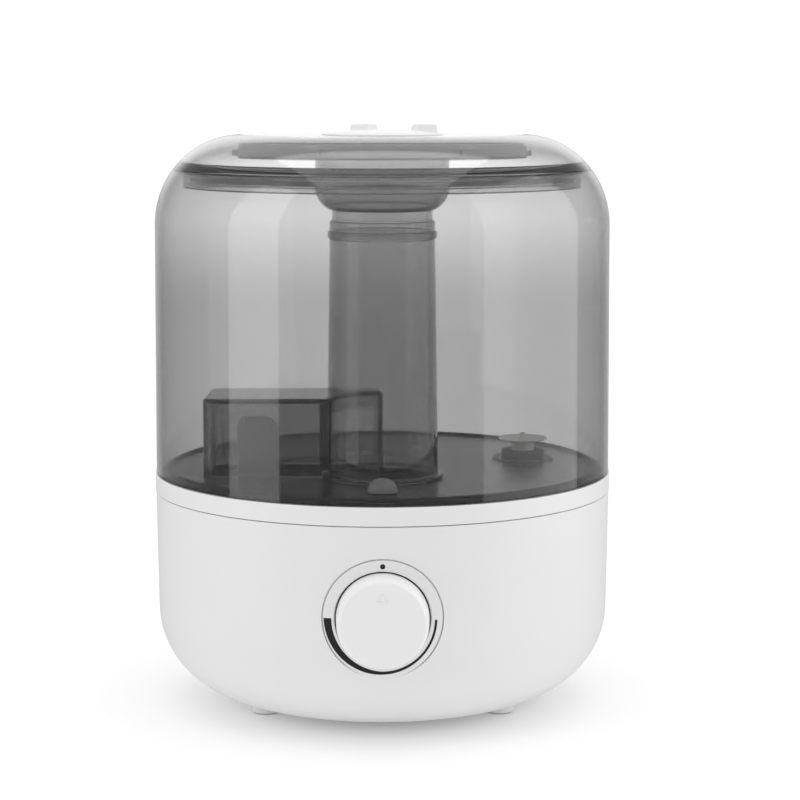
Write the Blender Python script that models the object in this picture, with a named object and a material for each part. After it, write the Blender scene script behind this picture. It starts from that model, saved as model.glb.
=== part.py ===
"""Round cool-mist humidifier with a top-fill tank: a white base, a smoked clear tank with a mist tube,
and a clear lid with a turning mist nozzle. Metres, +Z up, front towards -Y, standing on z = 0."""

import math

import bmesh
import bpy
from mathutils import Matrix, Vector

# Clearances
GAP = 0.0003  # between pieces that touch
RUNNING_GAP = 0.0006  # round a piece that turns or slides
LOOSE_GAP = 0.0010  # round a piece that drops into place

# Base: the housing under the groove, and the deck whose rim is the band above it
BODY_RADIUS = 0.0950  # the band, the widest part of the body
BASE_HEIGHT = 0.0971  # floor to the tank's lower edge
BAND_HEIGHT = 0.0077
HOUSING_TOP_RADIUS = 0.0948
HOUSING_LOW_RADIUS = 0.0941  # where the bottom fillet starts
BASE_FILLET = 0.0365
FOOT_CLEARANCE = 0.0040  # floor to the housing's underside
BASE_WALL = 0.0024
COVER_RADIUS = 0.0470
COVER_THICKNESS = 0.0032
FOOT_SPACING_X = 0.0960  # centre to centre
FOOT_SPACING_Y = 0.0620
FOOT_RADIUS = 0.0064
FOOT_PAD_RADIUS = 0.0056
FOOT_PAD_HEIGHT = 0.0030
FOOT_PAD_SHOWS = 0.0006
SCREW_SPACING = 0.0608  # centre to centre, each way
SCREW_HEAD_RADIUS = 0.0028
SCREW_HEAD_HEIGHT = 0.0013
SCREW_RADIUS = 0.0012
SCREW_LENGTH = 0.0110
PILLAR_RADIUS = 0.0032

# Deck and water basin
DECK_DROP = 0.0041  # deck below the base's top edge
BASIN_RADIUS = 0.0720
BASIN_DEPTH = 0.0210
RIM_THICKNESS = 0.0024

# Dial on the front wall
DIAL_HEIGHT = 0.0533
DIAL_RADIUS = 0.0236
DIAL_GROOVE = 0.0006
DIAL_WELL = 0.0018  # flat well in the plate that the knob's skirt drops into
KNOB_RADIUS = 0.0180
KNOB_REACH = 0.0100  # wall to knob face
KNOB_WALL = 0.0018
KNOB_EDGE = 0.0022
SHAFT_RADIUS = 0.0030
BUSH_RADIUS = 0.0042
POT_SIDE = 0.0165
POT_DEPTH = 0.0085

# Ultrasonic plate, under the mist tube
MIST_AXIS_Y = -0.0310
PLATE_RADIUS = 0.0100
PLATE_THICKNESS = 0.0013
PLATE_WINDOW = 0.0080

# Air path
FAN_X = -0.0300
FAN_SIDE = 0.0500
FAN_HEIGHT = 0.0150
FAN_BORE = 0.0235
FAN_HUB = 0.0105
FAN_BLADES = 7
BLADE_THICKNESS = 0.0012
BLADE_ANGLE = 40  # degrees from upright
HUB_WALL = 0.0015
STRUT_HEIGHT = 0.0025
STRUT_WIDTH = 0.0030
MOTOR_GAP = 0.0010  # round the motor, inside the hub's wall
MOTOR_DROP = 0.0040  # frame's top down to the motor's
DUCT_WAIST = 0.0060  # duct's foot up to its waist
DUCT_NECK = 0.0080  # basin down to the duct's neck
GRILLE_SLOT = 0.0030
GRILLE_PITCH = 0.0060
TOWER_X = -0.0510
TOWER_Y = -0.0165
TOWER_WIDTH = 0.0160
TOWER_DEPTH = 0.0200
TOWER_TOP = 0.1200
DUCT_WALL = 0.0016

# Float and level switch
FLOAT_X = 0.0200
FLOAT_Y = 0.0400
FLOAT_RADIUS = 0.0090
FLOAT_HEIGHT = 0.0100
FLOAT_RISE = 0.0050
FLOAT_POST = 0.0030
SWITCH_LENGTH = 0.0160
SWITCH_WIDTH = 0.0100
SWITCH_HEIGHT = 0.0060
FLOAT_CAP_GRIP = 0.0020  # how far the cap reaches down over its post

# Driver board
BOARD_RISE = 0.0060  # above the cover
BOARD_THICKNESS = 0.0016
BOARD_LEFT = 0.0050
BOARD_RIGHT = 0.0550
BOARD_WIDTH = 0.0500
PART_MARGIN = 0.0040  # board edge to the parts on it
SINK_LENGTH = 0.0220
SINK_WIDTH = 0.0120
SINK_PLATE = 0.0030
SINK_HEIGHT = 0.0180
SINK_FINS = 4
FIN_THICKNESS = 0.0019
CAPACITOR_RADIUS = 0.0050
CAPACITOR_HEIGHT = 0.0160
COIL_RADIUS = 0.0065
COIL_SECTION = (0.0030, 0.0036)
PLUG_LENGTH = 0.0080
PLUG_HEIGHT = 0.0070

# Indicator light
LIGHT_Y = -0.0700
LIGHT_RADIUS = 0.0037
LIGHT_DOME_RADIUS = 0.0060

# Power socket in the rear wall
JACK_HEIGHT = 0.0480
JACK_RADIUS = 0.0050
JACK_BORE = 0.0034
JACK_DEPTH = 0.0130

# Tank
TANK_FOOT_RADIUS = 0.0946
TANK_TOP_RADIUS = 0.0940
TANK_STRAIGHT = 0.1021  # lower edge to the start of the shoulder
TANK_WALL = 0.0022
SHOULDER_WIDTH = 0.0355
SHOULDER_HEIGHT = 0.0370
SEAM_RISE = 0.0227  # shoulder start to the lid's seam
MOUTH_RADIUS = 0.0800
RIM_DEPTH = 0.0052
LIP_DEPTH = 0.0074
FLOOR_STEP = 0.0014  # floor's upper face above the lower edge
FLOOR_THICKNESS = 0.0023
FLOOR_RIB_RADIUS = 0.0891
FLOOR_RIB_WIDTH = 0.0010
FOOT_RING_RADIUS = 0.0868
FOOT_RING_THICKNESS = 0.0025

# Mist tube and air box
TUBE_FOOT_RADIUS = 0.0226
TUBE_TOP_RADIUS = 0.0212
TUBE_WALL = 0.0013
TUBE_LENGTH = 0.0965
TUBE_FLANGE = 0.0245
COLLAR_LENGTH = 0.0069
AIR_BOX_LENGTH = 0.0726
AIR_BOX_WIDTH = 0.0374
AIR_BOX_FRONT = -0.0354
AIR_BOX_HEIGHT = 0.0318
AIR_BOX_WALL = 0.0020
AIR_BOX_CORNER = 0.0060
TUBE_WINDOW_HEIGHT = 0.0250

# Tank valve
VALVE_X = 0.0600
VALVE_Y = 0.0150
VALVE_BORE = 0.0070
VALVE_TRAVEL = 0.0030
UMBRELLA_RADIUS = 0.0106
VALVE_KERB_GAP = 0.0014  # umbrella's edge to the kerb round the valve
VALVE_KERB_WIDTH = 0.0012
VALVE_KERB_HEIGHT = 0.0010
UMBRELLA_DISH = 0.0004  # how far the rim turns up beyond the seat
UMBRELLA_EDGE = 0.0006
UMBRELLA_WEB = 0.0010  # thickness over the plunger's socket
NUB_RADIUS = 0.0012
NUB_HEIGHT = 0.0021
SEAT_RADIUS = 0.0091
SEAT_BORE = 0.0054
SEAT_HEIGHT = 0.0037
PLUNGER_RADIUS = 0.0020
PLUNGER_FLANGE = 0.0010
PUSH_PIN_RADIUS = 0.0030
PLUNGER_DROP = 0.0030  # plunger's lower end below the deck
SPRING_RADIUS = 0.0036
SPRING_WIRE = 0.00035
SPRING_TURNS = 4

# Lid
LID_WALL = 0.0020
LID_SKIRT = 0.0056
LID_SEAL_GROOVE = 0.0014
TOP_PLATE_RADIUS = 0.0584
TOP_PLATE_CROWN = 0.0005
TRAY_RADIUS = 0.0597
CLIP_REACH = 0.0022
CLIP_RISE = 0.0012
CLIP_HEIGHT = 0.0026
TRAY_DROP = 0.0086  # lid's top to the tray's underside
TRAY_HEIGHT = 0.0057
CLIP_COUNT = 6
CLIP_WIDTH = 0.0066
CUP_RADIUS = 0.0268
CUP_CORNER = 0.0100
CUP_WALL = 0.0016
SLEEVE_RADIUS = 0.0202
SLEEVE_LENGTH = 0.0031
NOZZLE_RADIUS = 0.0240
NOZZLE_RISE = 0.0025
NOZZLE_WALL = 0.0016
SPOUT_SIDE = 0.0096
SPOUT_TOP_SIDE = 0.0084
SPOUT_BORE = 0.0062
SPOUT_RISE = 0.0046
SPOUTS = ((-0.0070, 0.0030, -30.0), (0.0165, -0.0025, 18.0))  # x, y from the nozzle's axis, turn in degrees

# Facets
FINE = 32
MEDIUM = 20
SMALL = 12

# Heights and places that follow from the sizes above
HOUSING_TOP = BASE_HEIGHT - GAP - BAND_HEIGHT
DECK_TOP = BASE_HEIGHT - DECK_DROP
BASIN_FLOOR = DECK_TOP - BASIN_DEPTH
BASIN_UNDER = BASIN_FLOOR - BASE_WALL
COVER_TOP = FOOT_CLEARANCE + COVER_THICKNESS
FLOOR_TOP = BASE_HEIGHT + FLOOR_STEP
FLOOR_UNDER = FLOOR_TOP - FLOOR_THICKNESS
ON_FLOOR = FLOOR_TOP + GAP
SHOULDER_START = BASE_HEIGHT + TANK_STRAIGHT
SHOULDER_AXIS = TANK_TOP_RADIUS - SHOULDER_WIDTH
SEAM = SHOULDER_START + SEAM_RISE
LID_TOP = SHOULDER_START + SHOULDER_HEIGHT
TUBE_TOP = ON_FLOOR + TUBE_LENGTH
COLLAR_TOP = TUBE_TOP + GAP + COLLAR_LENGTH
TRAY_UNDER = LID_TOP - TRAY_DROP
SEAT_TOP = ON_FLOOR + SEAT_HEIGHT
UMBRELLA_FACE = SEAT_TOP + VALVE_TRAVEL + GAP  # underside that closes on the seat
SPRING_TOP = FLOOR_UNDER - GAP


def housing_radius(height):
    """Outer radius of the housing's wall above its bottom fillet."""
    low = FOOT_CLEARANCE + BASE_FILLET
    share = (height - low) / (HOUSING_TOP - low)
    return HOUSING_LOW_RADIUS + (HOUSING_TOP_RADIUS - HOUSING_LOW_RADIUS) * share


DIAL_FACE = housing_radius(DIAL_HEIGHT)
REAR_FACE = housing_radius(JACK_HEIGHT)
KNOB_FACE = DIAL_FACE + KNOB_REACH
AXIS_Y = (KNOB_FACE - BODY_RADIUS) / 2  # keeps the whole object centred on the origin


# ---------------------------------------------------------------- tools


def srgb(code):
    """Linear red, green and blue of an sRGB hex colour."""
    values = [int(code[i : i + 2], 16) / 255 for i in (0, 2, 4)]
    return [v / 12.92 if v <= 0.04045 else ((v + 0.055) / 1.055) ** 2.4 for v in values]


def finish(name, colour, roughness, metallic=0.0, alpha=1.0):
    """A Principled material."""
    made = bpy.data.materials.new(name)
    made.use_nodes = True
    shader = made.node_tree.nodes["Principled BSDF"]
    shader.inputs["Base Color"].default_value = (*srgb(colour), 1.0)
    shader.inputs["Roughness"].default_value = roughness
    shader.inputs["Metallic"].default_value = metallic
    shader.inputs["Alpha"].default_value = alpha
    return made


def empty(name, location, rotation=(0, 0, 0), parent=None):
    """An axis that pieces hang from."""
    made = bpy.data.objects.new(name, None)
    made.location = location
    made.rotation_euler = rotation
    made.parent = parent
    bpy.context.collection.objects.link(made)
    return made


def piece(name, bm, material, parent, location=(0, 0, 0), rotation=(0, 0, 0)):
    """An object made from a bmesh, with its normals outward and smooth shading."""
    bmesh.ops.remove_doubles(bm, verts=bm.verts, dist=1e-7)
    bmesh.ops.recalc_face_normals(bm, faces=bm.faces)
    mesh = bpy.data.meshes.new(name)
    bm.to_mesh(mesh)
    bm.free()
    mesh.shade_smooth()
    mesh.set_sharp_from_angle(angle=math.radians(35))
    if material is not None:
        mesh.materials.append(material)
    made = bpy.data.objects.new(name, mesh)
    made.location = location
    made.rotation_euler = rotation
    made.parent = parent
    bpy.context.collection.objects.link(made)
    return made


def combine(target, other, operation, solver="EXACT"):
    """Joins a helper object into a piece, or cuts it from the piece, by a Boolean."""
    modifier = target.modifiers.new(other.name, "BOOLEAN")
    modifier.operation = operation
    modifier.solver = solver
    modifier.object = other
    other.hide_render = True
    other.display_type = "WIRE"


def arc(centre, radii, start, end, steps):
    """Points (r, z) along an ellipse's arc, angles in degrees from +r towards +z, both ends in."""
    points = []
    for step in range(steps + 1):
        angle = math.radians(start + (end - start) * step / steps)
        points.append((centre[0] + radii[0] * math.cos(angle), centre[1] + radii[1] * math.sin(angle)))
    return points


def turned(outline, facets, closed=True):
    """A bmesh turned about Z from points (r, z). A closed outline is a ring's section; an open one
    starts and ends on the axis."""
    bm = bmesh.new()
    verts = [bm.verts.new((r, 0, z)) for r, z in outline]
    edges = [bm.edges.new(pair) for pair in zip(verts, verts[1:])]
    if closed:
        edges.append(bm.edges.new((verts[-1], verts[0])))
    spun = verts + edges
    bmesh.ops.spin(bm, geom=spun, cent=(0, 0, 0), axis=(0, 0, 1), angle=math.tau, steps=facets, use_merge=True)
    return bm


def rod(radius, low, high, facets=SMALL):
    """A round bar along Z."""
    return turned([(0, low), (radius, low), (radius, high), (0, high)], facets, closed=False)


def ring(inner, outer, low, high, facets=MEDIUM):
    """A flat ring or a tube along Z."""
    return turned([(inner, low), (outer, low), (outer, high), (inner, high)], facets)


def block(low, high):
    """A box between two corners."""
    bm = bmesh.new()
    size = [b - a for a, b in zip(low, high)]
    middle = [(a + b) / 2 for a, b in zip(low, high)]
    matrix = Matrix.Translation(middle) @ Matrix.Diagonal((*size, 1))
    bmesh.ops.create_cube(bm, size=1, matrix=matrix)
    return bm


def prism(outline, low, high):
    """An outline (x, y) raised from one height to another."""
    bm = bmesh.new()
    face = bm.faces.new([bm.verts.new((x, y, low)) for x, y in outline])
    raised = bmesh.ops.extrude_face_region(bm, geom=[face])["geom"]
    verts = [v for v in raised if isinstance(v, bmesh.types.BMVert)]
    bmesh.ops.translate(bm, verts=verts, vec=(0, 0, high - low))
    return bm


def lofted(outer, inner):
    """A tube whose outside and inside are lists of loops with the same number of corners."""
    bm = bmesh.new()
    rows = [[bm.verts.new(point) for point in loop] for loop in outer + inner[::-1]]
    count = len(rows[0])
    for row, after in zip(rows, rows[1:] + rows[:1]):
        for i in range(count):
            j = (i + 1) % count
            bm.faces.new((row[i], row[j], after[j], after[i]))
    return bm


def rectangle(x, y, width, depth, z):
    """Corners of an upright rectangle's loop about a centre."""
    signs = ((-1, -1), (1, -1), (1, 1), (-1, 1))
    return [(x + a * width / 2, y + b * depth / 2, z) for a, b in signs]


def merged(*parts):
    """Several bmeshes in one, for a cutter whose shapes stay apart."""
    whole = bmesh.new()
    for part in parts:
        mesh = bpy.data.meshes.new("part")
        bmesh.ops.recalc_face_normals(part, faces=part.faces)
        part.to_mesh(mesh)
        part.free()
        whole.from_mesh(mesh)
        bpy.data.meshes.remove(mesh)
    return whole


def moved(bm, vector):
    """The same bmesh, shifted."""
    bmesh.ops.translate(bm, verts=bm.verts, vec=vector)
    return bm


def corners(across, deep):
    """Four places on a rectangle round the axis."""
    x, y = across / 2, deep / 2
    return [(-x, -y), (x, -y), (x, y), (-x, y)]


# ---------------------------------------------------------------- base


def housing_section():
    """Section of the housing's wall: flat underside, fillet, leaning side."""
    fillet_z = FOOT_CLEARANCE + BASE_FILLET
    fillet_r = HOUSING_LOW_RADIUS - BASE_FILLET
    opening = COVER_RADIUS + GAP
    inner = BASE_FILLET - BASE_WALL
    section = [(opening, FOOT_CLEARANCE)]
    section += arc((fillet_r, fillet_z), (BASE_FILLET, BASE_FILLET), -90, 0, 6)
    section += [(HOUSING_TOP_RADIUS, HOUSING_TOP), (HOUSING_TOP_RADIUS - BASE_WALL, HOUSING_TOP)]
    section += arc((fillet_r, fillet_z), (inner, inner), 0, -90, 6)
    section += [(opening, FOOT_CLEARANCE + BASE_WALL)]
    return section


def base_housing(material, axis, front):
    """Outer shell of the base, with a dial opening, a socket hole and four foot bosses."""
    shell = piece("base_housing", turned(housing_section(), FINE), material, axis)
    boss_top = FOOT_CLEARANCE + BASE_WALL + LOOSE_GAP
    pad_top = FOOT_PAD_HEIGHT + GAP
    feet = [(x, y, 0) for x, y in corners(FOOT_SPACING_X, FOOT_SPACING_Y)]
    bosses = merged(*(moved(rod(FOOT_RADIUS, FOOT_PAD_SHOWS, boss_top), foot) for foot in feet))
    pockets = merged(*(moved(rod(FOOT_PAD_RADIUS + GAP, 0, pad_top), foot) for foot in feet))
    combine(shell, piece("foot_bosses", bosses, None, axis), "UNION")
    combine(shell, piece("foot_pockets", pockets, None, axis), "DIFFERENCE")
    reach = BODY_RADIUS / 2
    combine(shell, piece("dial_opening", rod(DIAL_RADIUS, -reach, reach, FINE), None, front), "DIFFERENCE")
    hole = rod(JACK_RADIUS + GAP, -LOOSE_GAP - BASE_WALL - DUCT_WALL, LOOSE_GAP * 2)
    rear = (0, REAR_FACE, JACK_HEIGHT)
    combine(shell, piece("socket_hole", hole, None, axis, rear, (-math.pi / 2, 0, 0)), "DIFFERENCE")


def dial_plate(material, front, axis):
    """Round plate let into the front wall, flush with it, with a hole for the control's bush."""
    plate = piece("dial_plate", turned(housing_section(), FINE), material, axis)
    reach = BODY_RADIUS / 2
    disc = ring(BUSH_RADIUS + GAP, DIAL_RADIUS - DIAL_GROOVE, -reach, reach, FINE)
    combine(plate, piece("dial_disc", disc, None, front), "INTERSECT")
    well = rod(KNOB_RADIUS + RUNNING_GAP, -DIAL_WELL, reach, FINE)
    combine(plate, piece("dial_well", well, None, front), "DIFFERENCE")


def base_deck(material, axis):
    """Top of the base: the band, the water basin with its holes, and the posts that stand in it."""
    skirt = HOUSING_TOP_RADIUS - BASE_WALL - GAP
    band_low = HOUSING_TOP + GAP
    under = DECK_TOP - BASE_WALL
    well = BASIN_RADIUS + BASE_WALL
    section = [
        (0, BASIN_FLOOR),
        (BASIN_RADIUS, BASIN_FLOOR),
        (BASIN_RADIUS, DECK_TOP),
        (BODY_RADIUS - RIM_THICKNESS, DECK_TOP),
        (BODY_RADIUS - RIM_THICKNESS, BASE_HEIGHT - GAP),
        (BODY_RADIUS, BASE_HEIGHT - GAP),
        (BODY_RADIUS, band_low),
        (skirt, band_low),
        (skirt, band_low - 2 * BASE_WALL),
        (skirt - BASE_WALL, band_low - 2 * BASE_WALL),
        (skirt - BASE_WALL, under),
        (well, under),
        (well, BASIN_UNDER),
        (0, BASIN_UNDER),
    ]
    deck = piece("base_deck", turned(section, FINE, closed=False), material, axis)

    rooted = (BASIN_FLOOR + BASIN_UNDER) / 2
    pillar_low = COVER_TOP + GAP
    screws = corners(SCREW_SPACING, SCREW_SPACING)
    posts = [moved(rod(PILLAR_RADIUS, pillar_low, rooted), (x, y, 0)) for x, y in screws]
    posts.append(moved(rod(FLOAT_POST, rooted, float_cap_low() + FLOAT_CAP_GRIP), (FLOAT_X, FLOAT_Y, 0)))
    posts.append(moved(rod(PUSH_PIN_RADIUS, rooted, plunger_low() - GAP), (VALVE_X, VALVE_Y, 0)))
    posts.append(moved(rod(LIGHT_RADIUS + DUCT_WALL + GAP, rooted, light_boss_top(), 16), (0, LIGHT_Y, 0)))
    for number, shape in enumerate(posts):
        combine(deck, piece(f"deck_post_{number}", shape, None, axis), "UNION")

    air = tower_bore(BASIN_UNDER - GAP * 2, BASIN_FLOOR + GAP * 2)
    pilots = [
        moved(rod(SCREW_RADIUS + GAP, pillar_low - GAP, pillar_low + SCREW_LENGTH), (x, y, 0))
        for x, y in corners(SCREW_SPACING, SCREW_SPACING)
    ]
    mist = moved(rod(PLATE_RADIUS, BASIN_UNDER - GAP, BASIN_FLOOR + GAP, MEDIUM), (0, MIST_AXIS_Y, 0))
    well_low = BASIN_UNDER - GAP
    light = moved(rod(LIGHT_RADIUS + GAP, well_low, light_boss_top() + LOOSE_GAP, 16), (0, LIGHT_Y, 0))
    for number, shape in enumerate([air, mist, *pilots]):
        combine(deck, piece(f"deck_hole_{number}", shape, None, axis), "DIFFERENCE")
    combine(deck, piece("light_hole", light, None, axis), "DIFFERENCE", "MANIFOLD")


def tower_bore(low, high):
    """Air passage of the tower between two heights."""
    half_w, half_d = TOWER_WIDTH / 2 - DUCT_WALL, TOWER_DEPTH / 2 - DUCT_WALL
    return block((TOWER_X - half_w, TOWER_Y - half_d, low), (TOWER_X + half_w, TOWER_Y + half_d, high))


def air_tower(material, axis):
    """Chimney that stands in the basin over the duct's hole and brings the air up above the water."""
    half_w, half_d = TOWER_WIDTH / 2, TOWER_DEPTH / 2
    crown_r = TOWER_WIDTH * 0.4
    bend = arc((0, TOWER_TOP - crown_r), (crown_r, crown_r), 90, 0, 5)
    crown = [(half_w - crown_r + x, z) for x, z in bend]
    low = BASIN_FLOOR + GAP
    side = [(-half_w, low), (-half_w, TOWER_TOP), *crown, (half_w, low)]
    chimney = prism(side, -half_d, half_d)
    bmesh.ops.rotate(chimney, verts=chimney.verts, matrix=Matrix.Rotation(math.pi / 2, 3, "X"))
    tower = piece("air_tower", moved(chimney, (TOWER_X, TOWER_Y, 0)), material, axis)
    combine(tower, piece("tower_bore", tower_bore(low - GAP, TOWER_TOP + GAP), None, axis), "DIFFERENCE")


def bottom_cover(material, axis):
    """Round cover under the base, with an air grille below the fan and four countersunk screw holes."""
    disc = rod(COVER_RADIUS, FOOT_CLEARANCE, COVER_TOP, FINE)
    cover = piece("bottom_cover", disc, material, axis)
    count = int(FAN_BORE * 2 / GRILLE_PITCH)
    slots = []
    for number in range(count):
        y = (number - (count - 1) / 2) * GRILLE_PITCH
        half = math.sqrt(max(FAN_BORE**2 - (abs(y) + GRILLE_SLOT / 2) ** 2, GRILLE_SLOT**2)) - LOOSE_GAP
        cover_edge = -math.sqrt(COVER_RADIUS**2 - (abs(y) + GRILLE_SLOT / 2) ** 2)
        left = max(FAN_X - half, cover_edge + COVER_THICKNESS)
        low = (left, y - GRILLE_SLOT / 2, FOOT_CLEARANCE - LOOSE_GAP)
        slots.append(block(low, (FAN_X + half, y + GRILLE_SLOT / 2, COVER_TOP + LOOSE_GAP)))
    head_top = FOOT_CLEARANCE + SCREW_HEAD_HEIGHT + 2 * GAP
    for x, y in corners(SCREW_SPACING, SCREW_SPACING):
        slots.append(
            moved(
                turned(
                    [
                        (0, FOOT_CLEARANCE - GAP),
                        (SCREW_HEAD_RADIUS + GAP, FOOT_CLEARANCE - GAP),
                        (SCREW_HEAD_RADIUS + GAP, head_top),
                        (SCREW_RADIUS + GAP, head_top),
                        (SCREW_RADIUS + GAP, COVER_TOP + GAP),
                        (0, COVER_TOP + GAP),
                    ],
                    SMALL,
                    closed=False,
                ),
                (x, y, 0),
            )
        )
    combine(cover, piece("cover_openings", merged(*slots), None, axis), "DIFFERENCE")


def screws_and_feet(steel, rubber, axis):
    """Four cover screws with cross recesses left plain, and four rubber pads let into the feet."""
    head_low = FOOT_CLEARANCE + GAP
    head_top = head_low + SCREW_HEAD_HEIGHT
    section = [
        (0, head_low),
        (SCREW_HEAD_RADIUS * 0.7, head_low),
        (SCREW_HEAD_RADIUS, head_low + SCREW_HEAD_HEIGHT * 0.5),
        (SCREW_HEAD_RADIUS, head_top),
        (SCREW_RADIUS, head_top),
        (SCREW_RADIUS, head_top + SCREW_LENGTH - LOOSE_GAP),
        (0, head_top + SCREW_LENGTH),
    ]
    for number, (x, y) in enumerate(corners(SCREW_SPACING, SCREW_SPACING), 1):
        piece(f"cover_screw_{number}", turned(section, 12, closed=False), steel, axis, (x, y, 0))
    for number, (x, y) in enumerate(corners(FOOT_SPACING_X, FOOT_SPACING_Y), 1):
        piece(f"foot_pad_{number}", rod(FOOT_PAD_RADIUS, 0, FOOT_PAD_HEIGHT), rubber, axis, (x, y, 0))


# ---------------------------------------------------------------- control


def control(white, black, steel, front, turning):
    """Rotary control behind the dial plate: body and bush fixed, shaft and knob turning with it."""
    plate_back = -BASE_WALL - 2 * GAP
    body_top = plate_back - LOOSE_GAP
    half = POT_SIDE / 2
    nut_low = GAP - DIAL_WELL
    nut_high = nut_low + 0.0020
    case = block((-half, -half, body_top - POT_DEPTH), (half, half, body_top))
    body = piece("dial_pot", case, black, front)
    bush = ring(SHAFT_RADIUS + GAP, BUSH_RADIUS, body_top - POT_DEPTH / 2, nut_high + GAP)
    combine(body, piece("pot_bush", bush, None, front), "UNION")
    bore = rod(SHAFT_RADIUS + GAP, body_top - POT_DEPTH / 2, nut_high + LOOSE_GAP)
    combine(body, piece("pot_bore", bore, None, front), "DIFFERENCE")
    nut = piece("pot_nut", rod(BUSH_RADIUS * 1.6, nut_low, nut_high, 6), steel, front)
    hole = rod(BUSH_RADIUS + GAP, nut_low - GAP, nut_high + GAP)
    combine(nut, piece("nut_hole", hole, None, front), "DIFFERENCE")

    shaft_low = body_top - POT_DEPTH / 2 + GAP
    shaft_top = KNOB_REACH - KNOB_WALL - GAP
    piece("knob_shaft", rod(SHAFT_RADIUS, shaft_low, shaft_top), steel, turning)
    inner = KNOB_RADIUS - KNOB_WALL
    bore_r = SHAFT_RADIUS + GAP
    hub = bore_r + KNOB_WALL
    edge = KNOB_EDGE
    section = [(0, KNOB_REACH)]
    section += [(r, z) for r, z in arc((KNOB_RADIUS - edge, KNOB_REACH - edge), (edge, edge), 78, 0, 3)]
    section += [
        (KNOB_RADIUS, RUNNING_GAP - DIAL_WELL),
        (inner, RUNNING_GAP - DIAL_WELL),
        (inner, KNOB_REACH - KNOB_WALL),
        (hub, KNOB_REACH - KNOB_WALL),
        (hub, nut_high + RUNNING_GAP),
        (bore_r, nut_high + RUNNING_GAP),
        (bore_r, KNOB_REACH - KNOB_WALL),
        (0, KNOB_REACH - KNOB_WALL),
    ]
    piece("knob_cap", turned(section, FINE, closed=False), white, turning)


# ---------------------------------------------------------------- inside the base


def mist_maker(brass, rubber, white, axis):
    """Ultrasonic plate under the basin, its gasket in the basin's hole, and the ring that clamps it."""
    place = (0, MIST_AXIS_Y, 0)
    plate_top = BASIN_UNDER - GAP
    plate_low = plate_top - PLATE_THICKNESS
    clamp_top = plate_low - GAP
    gasket = ring(PLATE_WINDOW, PLATE_RADIUS - GAP, BASIN_UNDER + GAP, BASIN_FLOOR - GAP)
    piece("transducer_gasket", gasket, rubber, axis, place)
    piece("transducer_disc", rod(PLATE_RADIUS, plate_low, plate_top, MEDIUM), brass, axis, place)
    clamp = ring(PLATE_WINDOW, PLATE_RADIUS * 1.4, clamp_top - BASE_WALL, clamp_top)
    piece("transducer_clamp", clamp, white, axis, place)


def electronics(green, silver, black, copper, white, axis):
    """Driver board with its heat sink, capacitor, coil and plug, and the level switch under the float."""
    board_low = COVER_TOP + BOARD_RISE
    board_top = board_low + BOARD_THICKNESS
    front, back = -BOARD_WIDTH / 2, BOARD_WIDTH / 2
    piece("driver_board", block((BOARD_LEFT, front, board_low), (BOARD_RIGHT, back, board_top)), green, axis)
    on_board = board_top + GAP
    left, rear = BOARD_LEFT + PART_MARGIN, back - PART_MARGIN
    near = rear - SINK_WIDTH
    plate = block((left, near, on_board), (left + SINK_LENGTH, rear, on_board + SINK_PLATE))
    sink = piece("heat_sink", plate, silver, axis)
    pitch = (SINK_LENGTH - FIN_THICKNESS) / (SINK_FINS - 1)
    for number in range(SINK_FINS):
        x = left + number * pitch
        fin_low = (x, near, on_board + SINK_PLATE / 3)
        fin = block(fin_low, (x + FIN_THICKNESS, rear, on_board + SINK_HEIGHT))
        combine(sink, piece(f"sink_fin_{number}", fin, None, axis), "UNION")
    can = rod(CAPACITOR_RADIUS, on_board, on_board + CAPACITOR_HEIGHT)
    inset = CAPACITOR_RADIUS * 2
    piece("capacitor", can, black, axis, (BOARD_RIGHT - inset, front + inset + LOOSE_GAP, 0))
    coil_z = on_board + COIL_SECTION[1] + PART_MARGIN / 10
    coil = turned(arc((COIL_RADIUS, coil_z), COIL_SECTION, 0, 315, 7), SMALL)
    reach = COIL_RADIUS + COIL_SECTION[0]
    piece("choke_coil", coil, copper, axis, (left + reach + LOOSE_GAP, front + reach + PART_MARGIN, 0))
    plug_right = BOARD_RIGHT - PART_MARGIN
    plug = block((plug_right - PLUG_LENGTH, near, on_board), (plug_right, rear, on_board + PLUG_HEIGHT))
    piece("board_plug", plug, white, axis)
    switch_top = BASIN_UNDER - GAP
    switch_low = (FLOAT_X - SWITCH_LENGTH / 2, FLOAT_Y - SWITCH_WIDTH / 2, switch_top - SWITCH_HEIGHT)
    switch = block(switch_low, (FLOAT_X + SWITCH_LENGTH / 2, FLOAT_Y + SWITCH_WIDTH / 2, switch_top))
    piece("level_switch", switch, black, axis)


def float_cap_low():
    """Underside of the cap that stops the float."""
    return BASIN_FLOOR + GAP + FLOAT_HEIGHT + FLOAT_RISE + RUNNING_GAP


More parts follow.
